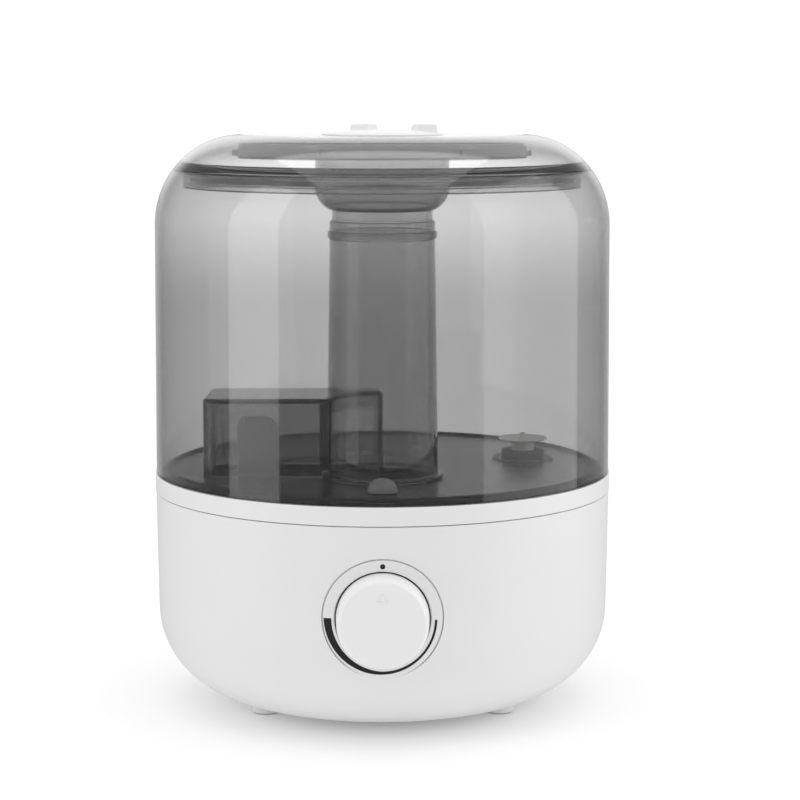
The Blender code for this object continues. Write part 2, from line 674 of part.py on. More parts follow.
def float_parts(white, silver, axis, sliding):
    """Ring float with a magnet in its underside, on a post with a stop cap."""
    place = (FLOAT_X, FLOAT_Y, 0)
    low = BASIN_FLOOR + GAP
    bore = FLOAT_POST + RUNNING_GAP
    pocket_in, pocket_out = bore + 0.0012, FLOAT_RADIUS - 0.0018
    pocket_top = low + 0.0030
    section = [
        (bore, low),
        (pocket_in, low),
        (pocket_in, pocket_top),
        (pocket_out, pocket_top),
        (pocket_out, low),
        (FLOAT_RADIUS, low),
        (FLOAT_RADIUS, low + FLOAT_HEIGHT),
        (bore, low + FLOAT_HEIGHT),
    ]
    piece("float_ring", turned(section, MEDIUM), white, sliding)
    magnet = ring(pocket_in + GAP, pocket_out - GAP, low + GAP, pocket_top - GAP)
    piece("float_magnet", magnet, silver, sliding)
    cap_low = float_cap_low()
    post_top = cap_low + FLOAT_CAP_GRIP
    socket = FLOAT_POST + GAP
    section = [
        (0, post_top + DUCT_WALL),
        (socket + DUCT_WALL, post_top + DUCT_WALL),
        (socket + DUCT_WALL, cap_low),
        (socket, cap_low),
        (socket, post_top + GAP),
        (0, post_top + GAP),
    ]
    piece("float_cap", turned(section, SMALL, closed=False), white, axis, place)


def light_boss_top():
    """Top of the boss that holds the indicator light, under the tank's floor."""
    return FLOOR_UNDER - 2 * GAP - LOOSE_GAP


def indicator(clear, axis):
    """Small light in the deck, under the dome in the tank's floor."""
    top = FLOOR_UNDER - 2 * GAP
    low = light_boss_top() - LIGHT_RADIUS * 2
    crown = arc((0, top - LOOSE_GAP), (LIGHT_RADIUS, LOOSE_GAP), 0, 90, 3)
    lens = turned([(0, low), (LIGHT_RADIUS, low), *crown], SMALL, closed=False)
    piece("indicator_light", lens, clear, axis, (0, LIGHT_Y, 0))


def power_socket(black, axis):
    """Round low-voltage socket behind a hole in the rear wall, with a short centre pin."""
    place = (0, REAR_FACE, JACK_HEIGHT)
    face = -GAP
    back = face - JACK_DEPTH
    flange = -BASE_WALL - LOOSE_GAP - 2 * GAP
    wide = JACK_RADIUS + LOOSE_GAP * 1.5
    section = [
        (0, back),
        (wide, back),
        (wide, flange),
        (JACK_RADIUS, flange),
        (JACK_RADIUS, face),
        (JACK_BORE, face),
        (JACK_BORE, back + DUCT_WALL),
        (LOOSE_GAP, back + DUCT_WALL),
        (LOOSE_GAP, face - JACK_DEPTH / 2),
        (0, face - JACK_DEPTH / 2),
    ]
    piece("dc_jack", turned(section, SMALL, closed=False), black, axis, place, (-math.pi / 2, 0, 0))


def fan(black, silver, white, axis, turning):
    """Square axial fan over the grille, and the duct that carries its air to the tower."""
    low = COVER_TOP + GAP
    high = low + FAN_HEIGHT
    half = FAN_SIDE / 2
    frame = piece("fan_frame", block((-half, -half, low), (half, half, high)), black, axis, (FAN_X, 0, 0))
    bore = rod(FAN_BORE, low - GAP, high + GAP, FINE)
    combine(frame, piece("fan_bore", bore, None, axis, (FAN_X, 0, 0)), "DIFFERENCE")
    strut_top = low + STRUT_HEIGHT
    reach = FAN_BORE + LOOSE_GAP
    width = STRUT_WIDTH / 2
    for turn in (45, 135):
        strut = block((-reach, -width, low), (reach, width, strut_top))
        slanted = (0, 0, math.radians(turn))
        combine(frame, piece(f"fan_strut_{turn}", strut, None, axis, (FAN_X, 0, 0), slanted), "UNION")
    seat = rod(FAN_HUB - HUB_WALL, low, strut_top + GAP, SMALL)
    combine(frame, piece("fan_motor_seat", seat, None, axis, (FAN_X, 0, 0)), "UNION")

    motor_low = strut_top + 2 * GAP
    motor_top = high - MOTOR_DROP
    piece("fan_motor", rod(FAN_HUB - HUB_WALL - MOTOR_GAP, motor_low, motor_top), silver, axis, (FAN_X, 0, 0))
    cup_low = motor_low + LOOSE_GAP
    inner = FAN_HUB - HUB_WALL
    cup_roof = motor_top + RUNNING_GAP
    top = high - LOOSE_GAP
    section = [(0, cup_roof), (inner, cup_roof), (inner, cup_low)]
    section += [(FAN_HUB, cup_low), (FAN_HUB, top), (0, top)]
    hub = piece("fan_impeller", turned(section, SMALL, closed=False), white, turning)
    tip = FAN_BORE - LOOSE_GAP
    root = FAN_HUB - HUB_WALL / 3
    for number in range(FAN_BLADES):
        half = BLADE_THICKNESS / 2
        blade = block((root, -half, cup_low + BLADE_THICKNESS), (tip, half, top - LOOSE_GAP))
        middle = Vector(((root + tip) / 2, 0, (cup_low + top) / 2))
        tilt = Matrix.Rotation(math.radians(BLADE_ANGLE), 4, "X")
        lean = Matrix.Translation(middle) @ tilt @ Matrix.Translation(-middle)
        spin = Matrix.Rotation(math.tau * number / FAN_BLADES, 4, "Z")
        bmesh.ops.transform(blade, matrix=spin @ lean, verts=blade.verts)
        combine(hub, piece(f"fan_blade_{number}", blade, None, turning), "UNION")

    foot, roof = high + GAP, BASIN_UNDER - GAP
    waist = foot + DUCT_WAIST
    neck = roof - DUCT_NECK
    wide, narrow_w, narrow_d = FAN_SIDE, TOWER_WIDTH + 2 * DUCT_WALL, TOWER_DEPTH + 2 * DUCT_WALL
    outer = [
        rectangle(FAN_X, 0, wide, wide, foot),
        rectangle(FAN_X, 0, wide, wide, waist),
        rectangle(TOWER_X, TOWER_Y, narrow_w, narrow_d, neck),
        rectangle(TOWER_X, TOWER_Y, narrow_w, narrow_d, roof),
    ]
    thin = 2 * DUCT_WALL
    inner = [
        rectangle(FAN_X, 0, wide - thin, wide - thin, foot),
        rectangle(FAN_X, 0, wide - thin, wide - thin, waist),
        rectangle(TOWER_X, TOWER_Y, narrow_w - thin, narrow_d - thin, neck),
        rectangle(TOWER_X, TOWER_Y, narrow_w - thin, narrow_d - thin, roof),
    ]
    piece("fan_duct", lofted(outer, inner), white, axis)


# ---------------------------------------------------------------- tank


def shoulder(inset, start, end, steps):
    """Points of the rounded shoulder shared by tank and lid, set in from the outer surface; from one
    height above its start to another."""
    width, height = SHOULDER_WIDTH - inset, SHOULDER_HEIGHT - inset
    first = math.degrees(math.asin(min(start / height, 1)))
    last = math.degrees(math.asin(min(end / height, 1)))
    return arc((SHOULDER_AXIS, SHOULDER_START), (width, height), first, last, steps)


def tank_shell(smoke, axis):
    """Clear wall of the tank: straight side, rounded shoulder and a thick rim round the mouth."""
    rim_low = SEAM - RIM_DEPTH
    lip_low = SEAM - LIP_DEPTH
    section = [(TANK_FOOT_RADIUS, BASE_HEIGHT)]
    section += shoulder(0, 0, SEAM_RISE, 4)
    section += [(MOUTH_RADIUS, SEAM), (MOUTH_RADIUS, lip_low), (MOUTH_RADIUS + TANK_WALL, lip_low)]
    section += [(MOUTH_RADIUS + TANK_WALL, rim_low)]
    section += shoulder(TANK_WALL, SEAM_RISE - RIM_DEPTH, 0, 3)
    section += [(TANK_FOOT_RADIUS - TANK_WALL, BASE_HEIGHT)]
    piece("tank_shell", turned(section, FINE), smoke, axis)


def box_outline(inset):
    """Plan of the air box: rounded on the left, square where it meets the tube."""
    left = -AIR_BOX_LENGTH + inset
    right = -inset
    front = AIR_BOX_FRONT + inset
    back = AIR_BOX_FRONT + AIR_BOX_WIDTH - inset
    radius = AIR_BOX_CORNER - inset
    outline = [(right, front), (right, back)]
    outline += arc((left + radius, back - radius), (radius, radius), 90, 180, 4)
    outline += arc((left + radius, front + radius), (radius, radius), 180, 270, 4)
    return outline


def tube_outline(grow):
    """Outside of the mist tube with its foot flange, as a solid of revolution's outline."""
    flange_top = ON_FLOOR + TUBE_WALL + grow
    return [
        (0, ON_FLOOR - grow),
        (TUBE_FLANGE + grow, ON_FLOOR - grow),
        (TUBE_FLANGE + grow, flange_top),
        (TUBE_FOOT_RADIUS + grow, flange_top),
        (TUBE_TOP_RADIUS + grow, TUBE_TOP + grow),
        (0, TUBE_TOP + grow),
    ]


def tank_floor(smoke, axis):
    """Floor of the tank: a standing ring below, a rib above, and holes for tube, air and valve."""
    edge = TANK_FOOT_RADIUS - TANK_WALL - GAP
    half = FOOT_RING_THICKNESS / 2
    rib_top = FLOOR_TOP + FLOOR_THICKNESS / 2
    section = [
        (0, FLOOR_TOP),
        (FLOOR_RIB_RADIUS - FLOOR_RIB_WIDTH / 2, FLOOR_TOP),
        (FLOOR_RIB_RADIUS - FLOOR_RIB_WIDTH / 2, rib_top),
        (FLOOR_RIB_RADIUS + FLOOR_RIB_WIDTH / 2, rib_top),
        (FLOOR_RIB_RADIUS + FLOOR_RIB_WIDTH / 2, FLOOR_TOP),
        (edge, FLOOR_TOP),
        (edge, FLOOR_UNDER),
        (FOOT_RING_RADIUS + half, FLOOR_UNDER),
        (FOOT_RING_RADIUS + half, DECK_TOP + GAP),
        (FOOT_RING_RADIUS - half, DECK_TOP + GAP),
        (FOOT_RING_RADIUS - half, FLOOR_UNDER),
        (0, FLOOR_UNDER),
    ]
    floor = piece("tank_floor", turned(section, FINE, closed=False), smoke, axis)
    kerb = UMBRELLA_RADIUS + VALVE_KERB_GAP
    raised = ring(kerb, kerb + VALVE_KERB_WIDTH, FLOOR_TOP - GAP, FLOOR_TOP + VALVE_KERB_HEIGHT)
    combine(floor, piece("valve_ring", raised, None, axis, (VALVE_X, VALVE_Y, 0)), "UNION")
    low, high = FLOOR_UNDER - LOOSE_GAP, FLOOR_TOP + LOOSE_GAP
    bore = TUBE_FOOT_RADIUS - TUBE_WALL
    hole = rod(bore, low, high, MEDIUM)
    combine(floor, piece("mist_hole", hole, None, axis, (0, MIST_AXIS_Y, 0)), "DIFFERENCE")
    air = prism(box_outline(AIR_BOX_WALL), low - GAP, high + GAP)
    combine(floor, piece("air_hole", air, None, axis), "DIFFERENCE")
    hole = rod(VALVE_BORE, low, high)
    combine(floor, piece("valve_hole", hole, None, axis, (VALVE_X, VALVE_Y, 0)), "DIFFERENCE")


def air_box(smoke, axis, mist_axis):
    """Hollow box on the floor, open below, that covers the tower and leads its air to the tube."""
    top = ON_FLOOR + AIR_BOX_HEIGHT
    box = piece("air_box", prism(box_outline(0), ON_FLOOR, top), smoke, axis)
    hollow = prism(box_outline(AIR_BOX_WALL), ON_FLOOR - LOOSE_GAP, top - AIR_BOX_WALL)
    combine(box, piece("air_box_hollow", hollow, None, axis), "DIFFERENCE")
    room = turned(tube_outline(GAP), MEDIUM, closed=False)
    combine(box, piece("tube_room", room, None, mist_axis), "DIFFERENCE")


def mist_tube(smoke, mist_axis, axis):
    """Tapered tube from the floor to the lid, with a foot flange and a window into the air box."""
    bore_foot = TUBE_FOOT_RADIUS - TUBE_WALL
    bore_top = TUBE_TOP_RADIUS - TUBE_WALL
    section = [(bore_foot, ON_FLOOR), *tube_outline(0)[1:5], (bore_top, TUBE_TOP)]
    tube = piece("mist_tube", turned(section, MEDIUM), smoke, mist_axis)
    front = AIR_BOX_FRONT + AIR_BOX_WALL * 2
    back = AIR_BOX_FRONT + AIR_BOX_WIDTH - AIR_BOX_WALL * 2
    low = (-TUBE_FOOT_RADIUS * 1.4, front, ON_FLOOR + 2 * TUBE_WALL)
    window = block(low, (-2 * AIR_BOX_WALL, back, ON_FLOOR + TUBE_WINDOW_HEIGHT))
    combine(tube, piece("tube_window", window, None, axis), "DIFFERENCE")
    low = TUBE_TOP + GAP
    step = 0.0026
    section = [
        (bore_top, low),
        (TUBE_TOP_RADIUS + 0.0008, low),
        (TUBE_TOP_RADIUS + 0.0008, low + step),
        (TUBE_TOP_RADIUS, low + step),
        (TUBE_TOP_RADIUS, COLLAR_TOP),
        (bore_top, COLLAR_TOP),
    ]
    piece("tube_collar", turned(section, MEDIUM), smoke, mist_axis)


def light_dome(clear, axis):
    """Small dome on the floor over the indicator light."""
    crown = arc((0, ON_FLOOR), (LIGHT_DOME_RADIUS, LIGHT_DOME_RADIUS * 0.9), 0, 90, 5)
    piece("light_dome", turned([(0, ON_FLOOR), *crown], SMALL, closed=False), clear, axis, (0, LIGHT_Y, 0))


def plunger_low():
    """Lower end of the valve's plunger when the tank stands on the base."""
    return DECK_TOP - PLUNGER_DROP


def valve(black, silicone, white, steel, axis, moving):
    """Self-closing tank valve: seat ring and guide fixed in the floor, umbrella and plunger moving."""
    place = (VALVE_X, VALVE_Y, 0)
    piece("valve_seat", ring(SEAT_BORE, SEAT_RADIUS, ON_FLOOR, SEAT_TOP), black, axis, place)
    low, high = FLOOR_UNDER, FLOOR_TOP - GAP
    outer = VALVE_BORE - GAP
    bore = PLUNGER_RADIUS + RUNNING_GAP
    guide = piece("valve_guide", ring(outer - 0.0012, outer, low, high), white, axis, place)
    for number in range(3):
        spoke = block((bore + 0.0002, -0.0005, low + GAP / 2), (outer - 0.0004, 0.0005, high - GAP / 2))
        spoke_turn = Matrix.Rotation(math.tau * number / 3, 4, "Z")
        bmesh.ops.transform(spoke, matrix=spoke_turn, verts=spoke.verts)
        combine(guide, piece(f"guide_spoke_{number}", spoke, None, axis, place), "UNION")
    hub = piece("guide_hub", ring(bore, bore + 0.0010, low, high), None, axis, place)
    combine(guide, hub, "UNION")

    face, socket = UMBRELLA_FACE, PLUNGER_RADIUS + GAP
    neck = SEAT_BORE - RUNNING_GAP
    socket_top = face - UMBRELLA_WEB
    bottom = face - SEAT_HEIGHT - GAP
    nub_low = face + UMBRELLA_WEB * 1.5
    section = [
        (0, socket_top),
        (socket, socket_top),
        (socket, bottom),
        (neck, bottom),
        (neck, face),
        (SEAT_RADIUS, face),
        (UMBRELLA_RADIUS, face + UMBRELLA_DISH),
        (UMBRELLA_RADIUS, face + UMBRELLA_DISH + UMBRELLA_EDGE),
        (SEAT_RADIUS, face + UMBRELLA_EDGE),
        (neck, face + UMBRELLA_EDGE),
        (NUB_RADIUS * 2, face + UMBRELLA_WEB),
        (NUB_RADIUS, nub_low),
        (NUB_RADIUS, nub_low + NUB_HEIGHT),
        (0, nub_low + NUB_HEIGHT + GAP),
    ]
    piece("valve_umbrella", turned(section, MEDIUM, closed=False), silicone, moving)
    foot = plunger_low()
    flange = SPRING_RADIUS + SPRING_WIRE
    flange_top = foot + PLUNGER_FLANGE
    section = [
        (0, foot),
        (flange, foot),
        (flange, flange_top),
        (PLUNGER_RADIUS, flange_top),
        (PLUNGER_RADIUS, socket_top - GAP),
        (0, socket_top - GAP),
    ]
    piece("valve_plunger", turned(section, SMALL, closed=False), white, moving)

    start, end = flange_top + GAP + SPRING_WIRE, SPRING_TOP - SPRING_WIRE
    steps = SPRING_TURNS * 10
    curve = bpy.data.curves.new("valve_spring", "CURVE")
    curve.dimensions = "3D"
    curve.bevel_depth = SPRING_WIRE
    curve.bevel_resolution = 1
    curve.use_fill_caps = True
    curve.materials.append(steel)
    spline = curve.splines.new("POLY")
    spline.points.add(steps)
    for step in range(steps + 1):
        turn = math.tau * step / 10
        height = start + (end - start) * step / steps
        spline.points[step].co = (SPRING_RADIUS * math.cos(turn), SPRING_RADIUS * math.sin(turn), height, 1)
    spring = bpy.data.objects.new("valve_spring", curve)
    spring.location = place
    spring.parent = axis
    bpy.context.collection.objects.link(spring)


# ---------------------------------------------------------------- lid


def lid_dome(clear, rubber, axis):
    """Clear outer ring of the lid, with a skirt that drops into the mouth, and the seal round the skirt."""
    low = SEAM + GAP
    start = low - SHOULDER_START
    skirt_low = SEAM - LID_SKIRT
    seal_out = MOUTH_RADIUS - GAP
    skirt_out = seal_out - LID_SEAL_GROOVE
    skirt_in = skirt_out - LID_WALL
    hole = TOP_PLATE_RADIUS + GAP
    section = shoulder(0, start, SHOULDER_HEIGHT, 6)[:-1]
    section += [(hole, LID_TOP), (hole, LID_TOP - LID_WALL)]
    section += shoulder(LID_WALL, SHOULDER_HEIGHT - LID_WALL, start + LID_WALL, 5)[1:]
    section += [(skirt_in, low + LID_WALL), (skirt_in, skirt_low), (skirt_out, skirt_low), (skirt_out, low)]
    piece("lid_dome", turned(section, FINE), clear, axis)
    seal = ring(skirt_out + GAP, seal_out - GAP, skirt_low + LID_WALL / 2, skirt_low + LID_WALL * 1.5, FINE)
    piece("lid_seal", seal, rubber, axis)


def lid_top_plate(white, axis):
    """White disc in the middle of the lid, with a round opening for the nozzle."""
    low = LID_TOP - LID_WALL
    section = [(0, low), (TOP_PLATE_RADIUS, low), (TOP_PLATE_RADIUS, LID_TOP - GAP)]
    section += [(TOP_PLATE_RADIUS - GAP, LID_TOP), (0, LID_TOP + TOP_PLATE_CROWN)]
    plate = piece("lid_top_plate", turned(section, FINE, closed=False), white, axis)
    hole = rod(NOZZLE_RADIUS + GAP, low - GAP, LID_TOP + LOOSE_GAP, MEDIUM)
    combine(plate, piece("nozzle_opening", hole, None, axis, (0, MIST_AXIS_Y, 0)), "DIFFERENCE")


def lid_tray(white, axis):
    """Shallow tray under the lid, with snap clips round its wall and a hole over the cup."""
    low = TRAY_UNDER
    wall_in = TRAY_RADIUS - LID_WALL
    top = low + TRAY_HEIGHT
    section = [(0, low), (TRAY_RADIUS, low), (TRAY_RADIUS, top), (wall_in, top), (wall_in, low + CUP_WALL)]
    section += [(0, low + CUP_WALL)]
    tray = piece("lid_tray", turned(section, FINE, closed=False), white, axis)
    for number in range(CLIP_COUNT):
        clip_low = (wall_in + GAP, -CLIP_WIDTH / 2, low + CLIP_RISE)
        clip = block(clip_low, (TRAY_RADIUS + CLIP_REACH, CLIP_WIDTH / 2, low + CLIP_RISE + CLIP_HEIGHT))
        angle = math.tau * number / CLIP_COUNT + math.radians(3.5)
        bmesh.ops.rotate(clip, verts=clip.verts, matrix=Matrix.Rotation(angle, 3, "Z"))
        combine(tray, piece(f"tray_clip_{number}", clip, None, axis), "UNION")
    hole = rod(SLEEVE_RADIUS, low - GAP, low + CUP_WALL + GAP, MEDIUM)
    combine(tray, piece("tray_hole", hole, None, axis, (0, MIST_AXIS_Y, 0)), "DIFFERENCE")


def mist_cup(white, mist_axis):
    """Round cup under the lid whose sleeve meets the top of the mist tube."""
    top = TRAY_UNDER - GAP
    sleeve_low = COLLAR_TOP + GAP
    bottom = sleeve_low + SLEEVE_LENGTH
    corner_z = bottom + CUP_CORNER
    corner_r = CUP_RADIUS - CUP_CORNER
    inner_r = SLEEVE_RADIUS - CUP_WALL
    across = math.degrees(math.acos((SLEEVE_RADIUS - corner_r) / CUP_CORNER))
    inside = CUP_CORNER - CUP_WALL
    across_in = math.degrees(math.acos((inner_r - corner_r) / inside))
    section = [(CUP_RADIUS, top)]
    section += arc((corner_r, corner_z), (CUP_CORNER, CUP_CORNER), 0, -across, 4)
    section += [(SLEEVE_RADIUS, sleeve_low), (inner_r, sleeve_low)]
    section += arc((corner_r, corner_z), (inside, inside), -across_in, 0, 4)
    section += [(CUP_RADIUS - CUP_WALL, top)]
    piece("mist_cup", turned(section, MEDIUM), white, mist_axis)


def mist_nozzle(white, turning):
    """Turning nozzle: a low dome with two small square spouts, and a skirt that drops into the lid."""
    top = LID_TOP + NOZZLE_RISE
    edge = LID_TOP + TOP_PLATE_CROWN + GAP
    low = LID_TOP - LID_WALL
    skirt_low = TRAY_UNDER + CUP_WALL + LOOSE_GAP
    skirt_out = SLEEVE_RADIUS
    skirt_in = skirt_out - NOZZLE_WALL
    rise = top - edge
    section = [(0, top), (NOZZLE_RADIUS * 0.55, top - rise * 0.25)]
    section += [(NOZZLE_RADIUS - LOOSE_GAP, top - rise * 0.75)]
    section += [(NOZZLE_RADIUS, edge), (NOZZLE_RADIUS, low), (skirt_out, low), (skirt_out, skirt_low)]
    section += [(skirt_in, skirt_low), (skirt_in, low), (0, edge - GAP)]
    nozzle = piece("mist_nozzle", turned(section, MEDIUM, closed=False), white, turning)
    base = edge - GAP
    roof = LID_TOP + SPOUT_RISE
    for number, (x, y, turn) in enumerate(SPOUTS):
        lean = math.copysign((SPOUT_SIDE - SPOUT_TOP_SIDE) / 2 * 0.8, x)
        foot = rectangle(0, 0, SPOUT_SIDE, SPOUT_SIDE, base)
        head = rectangle(lean, 0, SPOUT_TOP_SIDE, SPOUT_TOP_SIDE, roof)
        spout = bmesh.new()
        rows = [[spout.verts.new(point) for point in loop] for loop in (foot, head)]
        spout.faces.new(rows[0][::-1])
        spout.faces.new(rows[1])
        for i in range(4):
            j = (i + 1) % 4
            spout.faces.new((rows[0][i], rows[0][j], rows[1][j], rows[1][i]))
        place, rotation = (x, y, 0), (0, 0, math.radians(turn))
        combine(nozzle, piece(f"spout_{number}", spout, None, turning, place, rotation), "UNION")
        half = SPOUT_BORE / 2
        bore = block((lean - half, -half, low), (lean + half, half, roof + LOOSE_GAP))
        combine(nozzle, piece(f"spout_bore_{number}", bore, None, turning, place, rotation), "DIFFERENCE")


def main():
    for old in list(bpy.data.objects):
        bpy.data.objects.remove(old)

    white = finish("white_abs", "ECECEC", 0.35)
    grey_white = finish("grey_white_abs", "DCDCDC", 0.4)
    black = finish("black_plastic", "1C1C1E", 0.5)
    rubber = finish("grey_rubber", "8C8C8C", 0.8)
    silicone = finish("clear_silicone", "D9DCDC", 0.45, alpha=0.8)
    smoke = finish("smoked_plastic", "6E6E70", 0.08, alpha=0.45)
    clear = finish("clear_plastic", "C8CACC", 0.06, alpha=0.35)
    steel = finish("plated_steel", "B8B8BA", 0.3, metallic=1.0)
    silver = finish("aluminium", "C9CACC", 0.35, metallic=1.0)
    brass = finish("silvered_brass", "C8B27A", 0.3, metallic=1.0)
    copper = finish("copper_wire", "B4693A", 0.35, metallic=1.0)
    green = finish("circuit_board", "1F5C3A", 0.5)

    axis = empty("body_axis", (0, AXIS_Y, 0))
    front = empty("dial_axis", (0, -DIAL_FACE, DIAL_HEIGHT), (math.pi / 2, 0, 0), axis)
    knob_axis = empty("knob_axis", (0, -DIAL_FACE, DIAL_HEIGHT), (math.pi / 2, 0, 0), axis)
    mist_axis = empty("mist_axis", (0, MIST_AXIS_Y, 0), parent=axis)
    nozzle_axis = empty("nozzle_axis", (0, MIST_AXIS_Y, 0), parent=axis)
    fan_axis = empty("fan_axis", (FAN_X, 0, 0), parent=axis)
    float_axis = empty("float_axis", (FLOAT_X, FLOAT_Y, 0), parent=axis)
    valve_axis = empty("valve_axis", (VALVE_X, VALVE_Y, 0), parent=axis)

    base_housing(white, axis, front)
    base_deck(white, axis)
    air_tower(white, axis)
    bottom_cover(grey_white, axis)
    screws_and_feet(steel, rubber, axis)
    dial_plate(white, front, axis)
    control(white, black, steel, front, knob_axis)
    mist_maker(brass, rubber, grey_white, axis)
    electronics(green, silver, black, copper, grey_white, axis)
    float_parts(grey_white, silver, axis, float_axis)
    indicator(silicone, axis)
    power_socket(black, axis)
    fan(black, silver, black, axis, fan_axis)

    tank_shell(smoke, axis)
    tank_floor(smoke, axis)
    air_box(smoke, axis, mist_axis)
    mist_tube(smoke, mist_axis, axis)
    light_dome(silicone, axis)
    valve(black, silicone, grey_white, steel, axis, valve_axis)

    lid_dome(clear, silicone, axis)
    lid_top_plate(white, axis)
    lid_tray(grey_white, axis)
    mist_cup(white, mist_axis)
    mist_nozzle(white, nozzle_axis)


if __name__ == "__main__":
    main()
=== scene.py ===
"""Looks of a round cool-mist humidifier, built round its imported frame. Metres, +Z up, front towards -Y."""

import sys

import logging
import math
from dataclasses import dataclass
from enum import Enum

import bmesh
import bpy
import numpy as np
from mathutils import Matrix, Vector


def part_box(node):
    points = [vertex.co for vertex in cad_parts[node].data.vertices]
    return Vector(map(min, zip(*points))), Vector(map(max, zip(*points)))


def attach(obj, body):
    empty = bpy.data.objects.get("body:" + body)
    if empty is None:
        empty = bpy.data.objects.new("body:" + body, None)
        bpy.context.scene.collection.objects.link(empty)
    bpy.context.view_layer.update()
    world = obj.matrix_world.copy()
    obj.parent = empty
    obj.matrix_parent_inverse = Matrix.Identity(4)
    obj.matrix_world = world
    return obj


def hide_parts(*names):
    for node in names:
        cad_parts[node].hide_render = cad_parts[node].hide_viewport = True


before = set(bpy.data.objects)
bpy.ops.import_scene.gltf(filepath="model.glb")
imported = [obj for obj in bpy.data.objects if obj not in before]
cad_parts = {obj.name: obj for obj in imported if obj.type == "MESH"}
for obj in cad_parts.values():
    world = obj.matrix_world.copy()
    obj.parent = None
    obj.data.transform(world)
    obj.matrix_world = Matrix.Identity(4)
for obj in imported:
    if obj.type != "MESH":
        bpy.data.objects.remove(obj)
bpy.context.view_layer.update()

LOG = logging.getLogger("humidifier")
MM = 0.001
GAP = 0.3 * MM  # between pieces that touch
BLOTCH = 35 * MM  # size of the broad patches in which a finish varies
TRACK_PITCH = 2.5 * MM
WHITE = (1.0, 1.0, 1.0, 1.0)
BLACK = (0.0, 0.0, 0.0, 1.0)
FINEST = 256  # columns round the outermost turned pieces
FINE = 192
MEDIUM = 96
SMALL = 48


# ---------------------------------------------------------------- surfaces


def arc(centre: tuple, radii: tuple, start: float, end: float, steps: int) -> np.ndarray:
    """Points (r, z) on an ellipse: centre plus radii times cosine and sine of an evenly stepped angle.

    Args:
        centre: middle of the ellipse.
        radii: semi-axes along r and z.
        start: first angle in degrees, from +r towards +z.
        end: last angle in degrees.
        steps: number of chords.

    Returns:
        Array of steps + 1 points.
    """
    angle = np.radians(np.linspace(start, end, steps + 1))
    return np.stack([centre[0] + radii[0] * np.cos(angle), centre[1] + radii[1] * np.sin(angle)], axis=1)


def rounded_corner(before: np.ndarray, corner: np.ndarray, after: np.ndarray, radius: float) -> np.ndarray:
    """A corner's fillet: the circle that touches both sides, from one touching point to the other.

    The touching points lie radius / tan(half the corner's angle) away, and the centre lies on the bisector.

    Args:
        before: point before the corner.
        corner: the corner itself.
        after: point after the corner.
        radius: wanted radius, made smaller where a side is too short.

    Returns:
        Points along the fillet.
    """
    one, two = before - corner, after - corner
    reach = min(np.linalg.norm(one), np.linalg.norm(two)) * 0.48
    one, two = one / np.linalg.norm(one), two / np.linalg.norm(two)
    half = math.acos(float(np.clip(one @ two, -1, 1))) / 2
    if radius <= 0 or half > math.radians(88):
        return corner[None, :]
    touch = min(radius / math.tan(half), reach)
    radius = touch * math.tan(half)
    bisector = (one + two) / np.linalg.norm(one + two)
    centre = corner + bisector * radius / math.sin(half)
    first, last = corner + one * touch - centre, corner + two * touch - centre
    sweep = math.atan2(first[0] * last[1] - first[1] * last[0], float(first @ last))
    angle = np.linspace(0, sweep, 6)[:, None]
    square = np.array([-first[1], first[0]])
    return centre + first * np.cos(angle) + square * np.sin(angle)


def outline(*parts: object, closed: bool = True) -> np.ndarray:
    """Joins corners (r, z) or (r, z, fillet radius) and ready arcs into one outline.

    Args:
        parts: corners as tuples, arcs as arrays of points.
        closed: whether the last point runs back to the first; an open outline keeps its ends sharp.

    Returns:
        Array of points (r, z).
    """
    rows = [
        np.c_[part, np.zeros(len(part))] if isinstance(part, np.ndarray) else np.array([(*part, 0.0)[:3]])
        for part in parts
    ]
    table = np.concatenate(rows)
    points, radii = table[:, :2], table[:, 2]
    before, after = np.roll(points, 1, axis=0), np.roll(points, -1, axis=0)
    if not closed:
        radii[[0, -1]] = 0
    return np.concatenate([rounded_corner(*corner) for corner in zip(before, points, after, radii)])


def turned(section: np.ndarray, centre: tuple, columns: int = FINE) -> np.ndarray:
    """Grid of a surface of revolution: each point (r, z) of the section swept round a vertical axis.

    Args:
        section: points (r, z).
        centre: x and y of the axis.
        columns: steps round the axis.

    Returns:
        Array of points, section by column.
    """
    angle = np.linspace(0, math.tau, columns, endpoint=False)
    r, z = section[:, 0, None], section[:, 1, None]
    x, y = centre[0] + r * np.cos(angle), centre[1] + r * np.sin(angle)
    return np.stack([x, y, z + np.zeros_like(angle)], axis=-1)


def rounded_rectangle(width: float, depth: float, radius: float, steps: int = 6) -> np.ndarray:
    """Plan (x, y) of a rectangle whose corners are quarter circles, anticlockwise about its centre.

    Args:
        width: size along x.
        depth: size along y.
        radius: the corners' radius.
        steps: chords in each corner.

    Returns:
        Array of points.
    """
    signs = ((1, 1, 0), (-1, 1, 90), (-1, -1, 180), (1, -1, 270))
    turns = [
        arc((a * (width / 2 - radius), b * (depth / 2 - radius)), (radius, radius), start, start + 90, steps)
        for a, b, start in signs
    ]
    return np.concatenate(turns)


def stacked(loops: list[np.ndarray], heights: list[float]) -> np.ndarray:
    """Grid of a loft: each plan loop (x, y) raised to its height."""
    return np.stack([np.c_[loop, np.full(len(loop), z)] for loop, z in zip(loops, heights)])


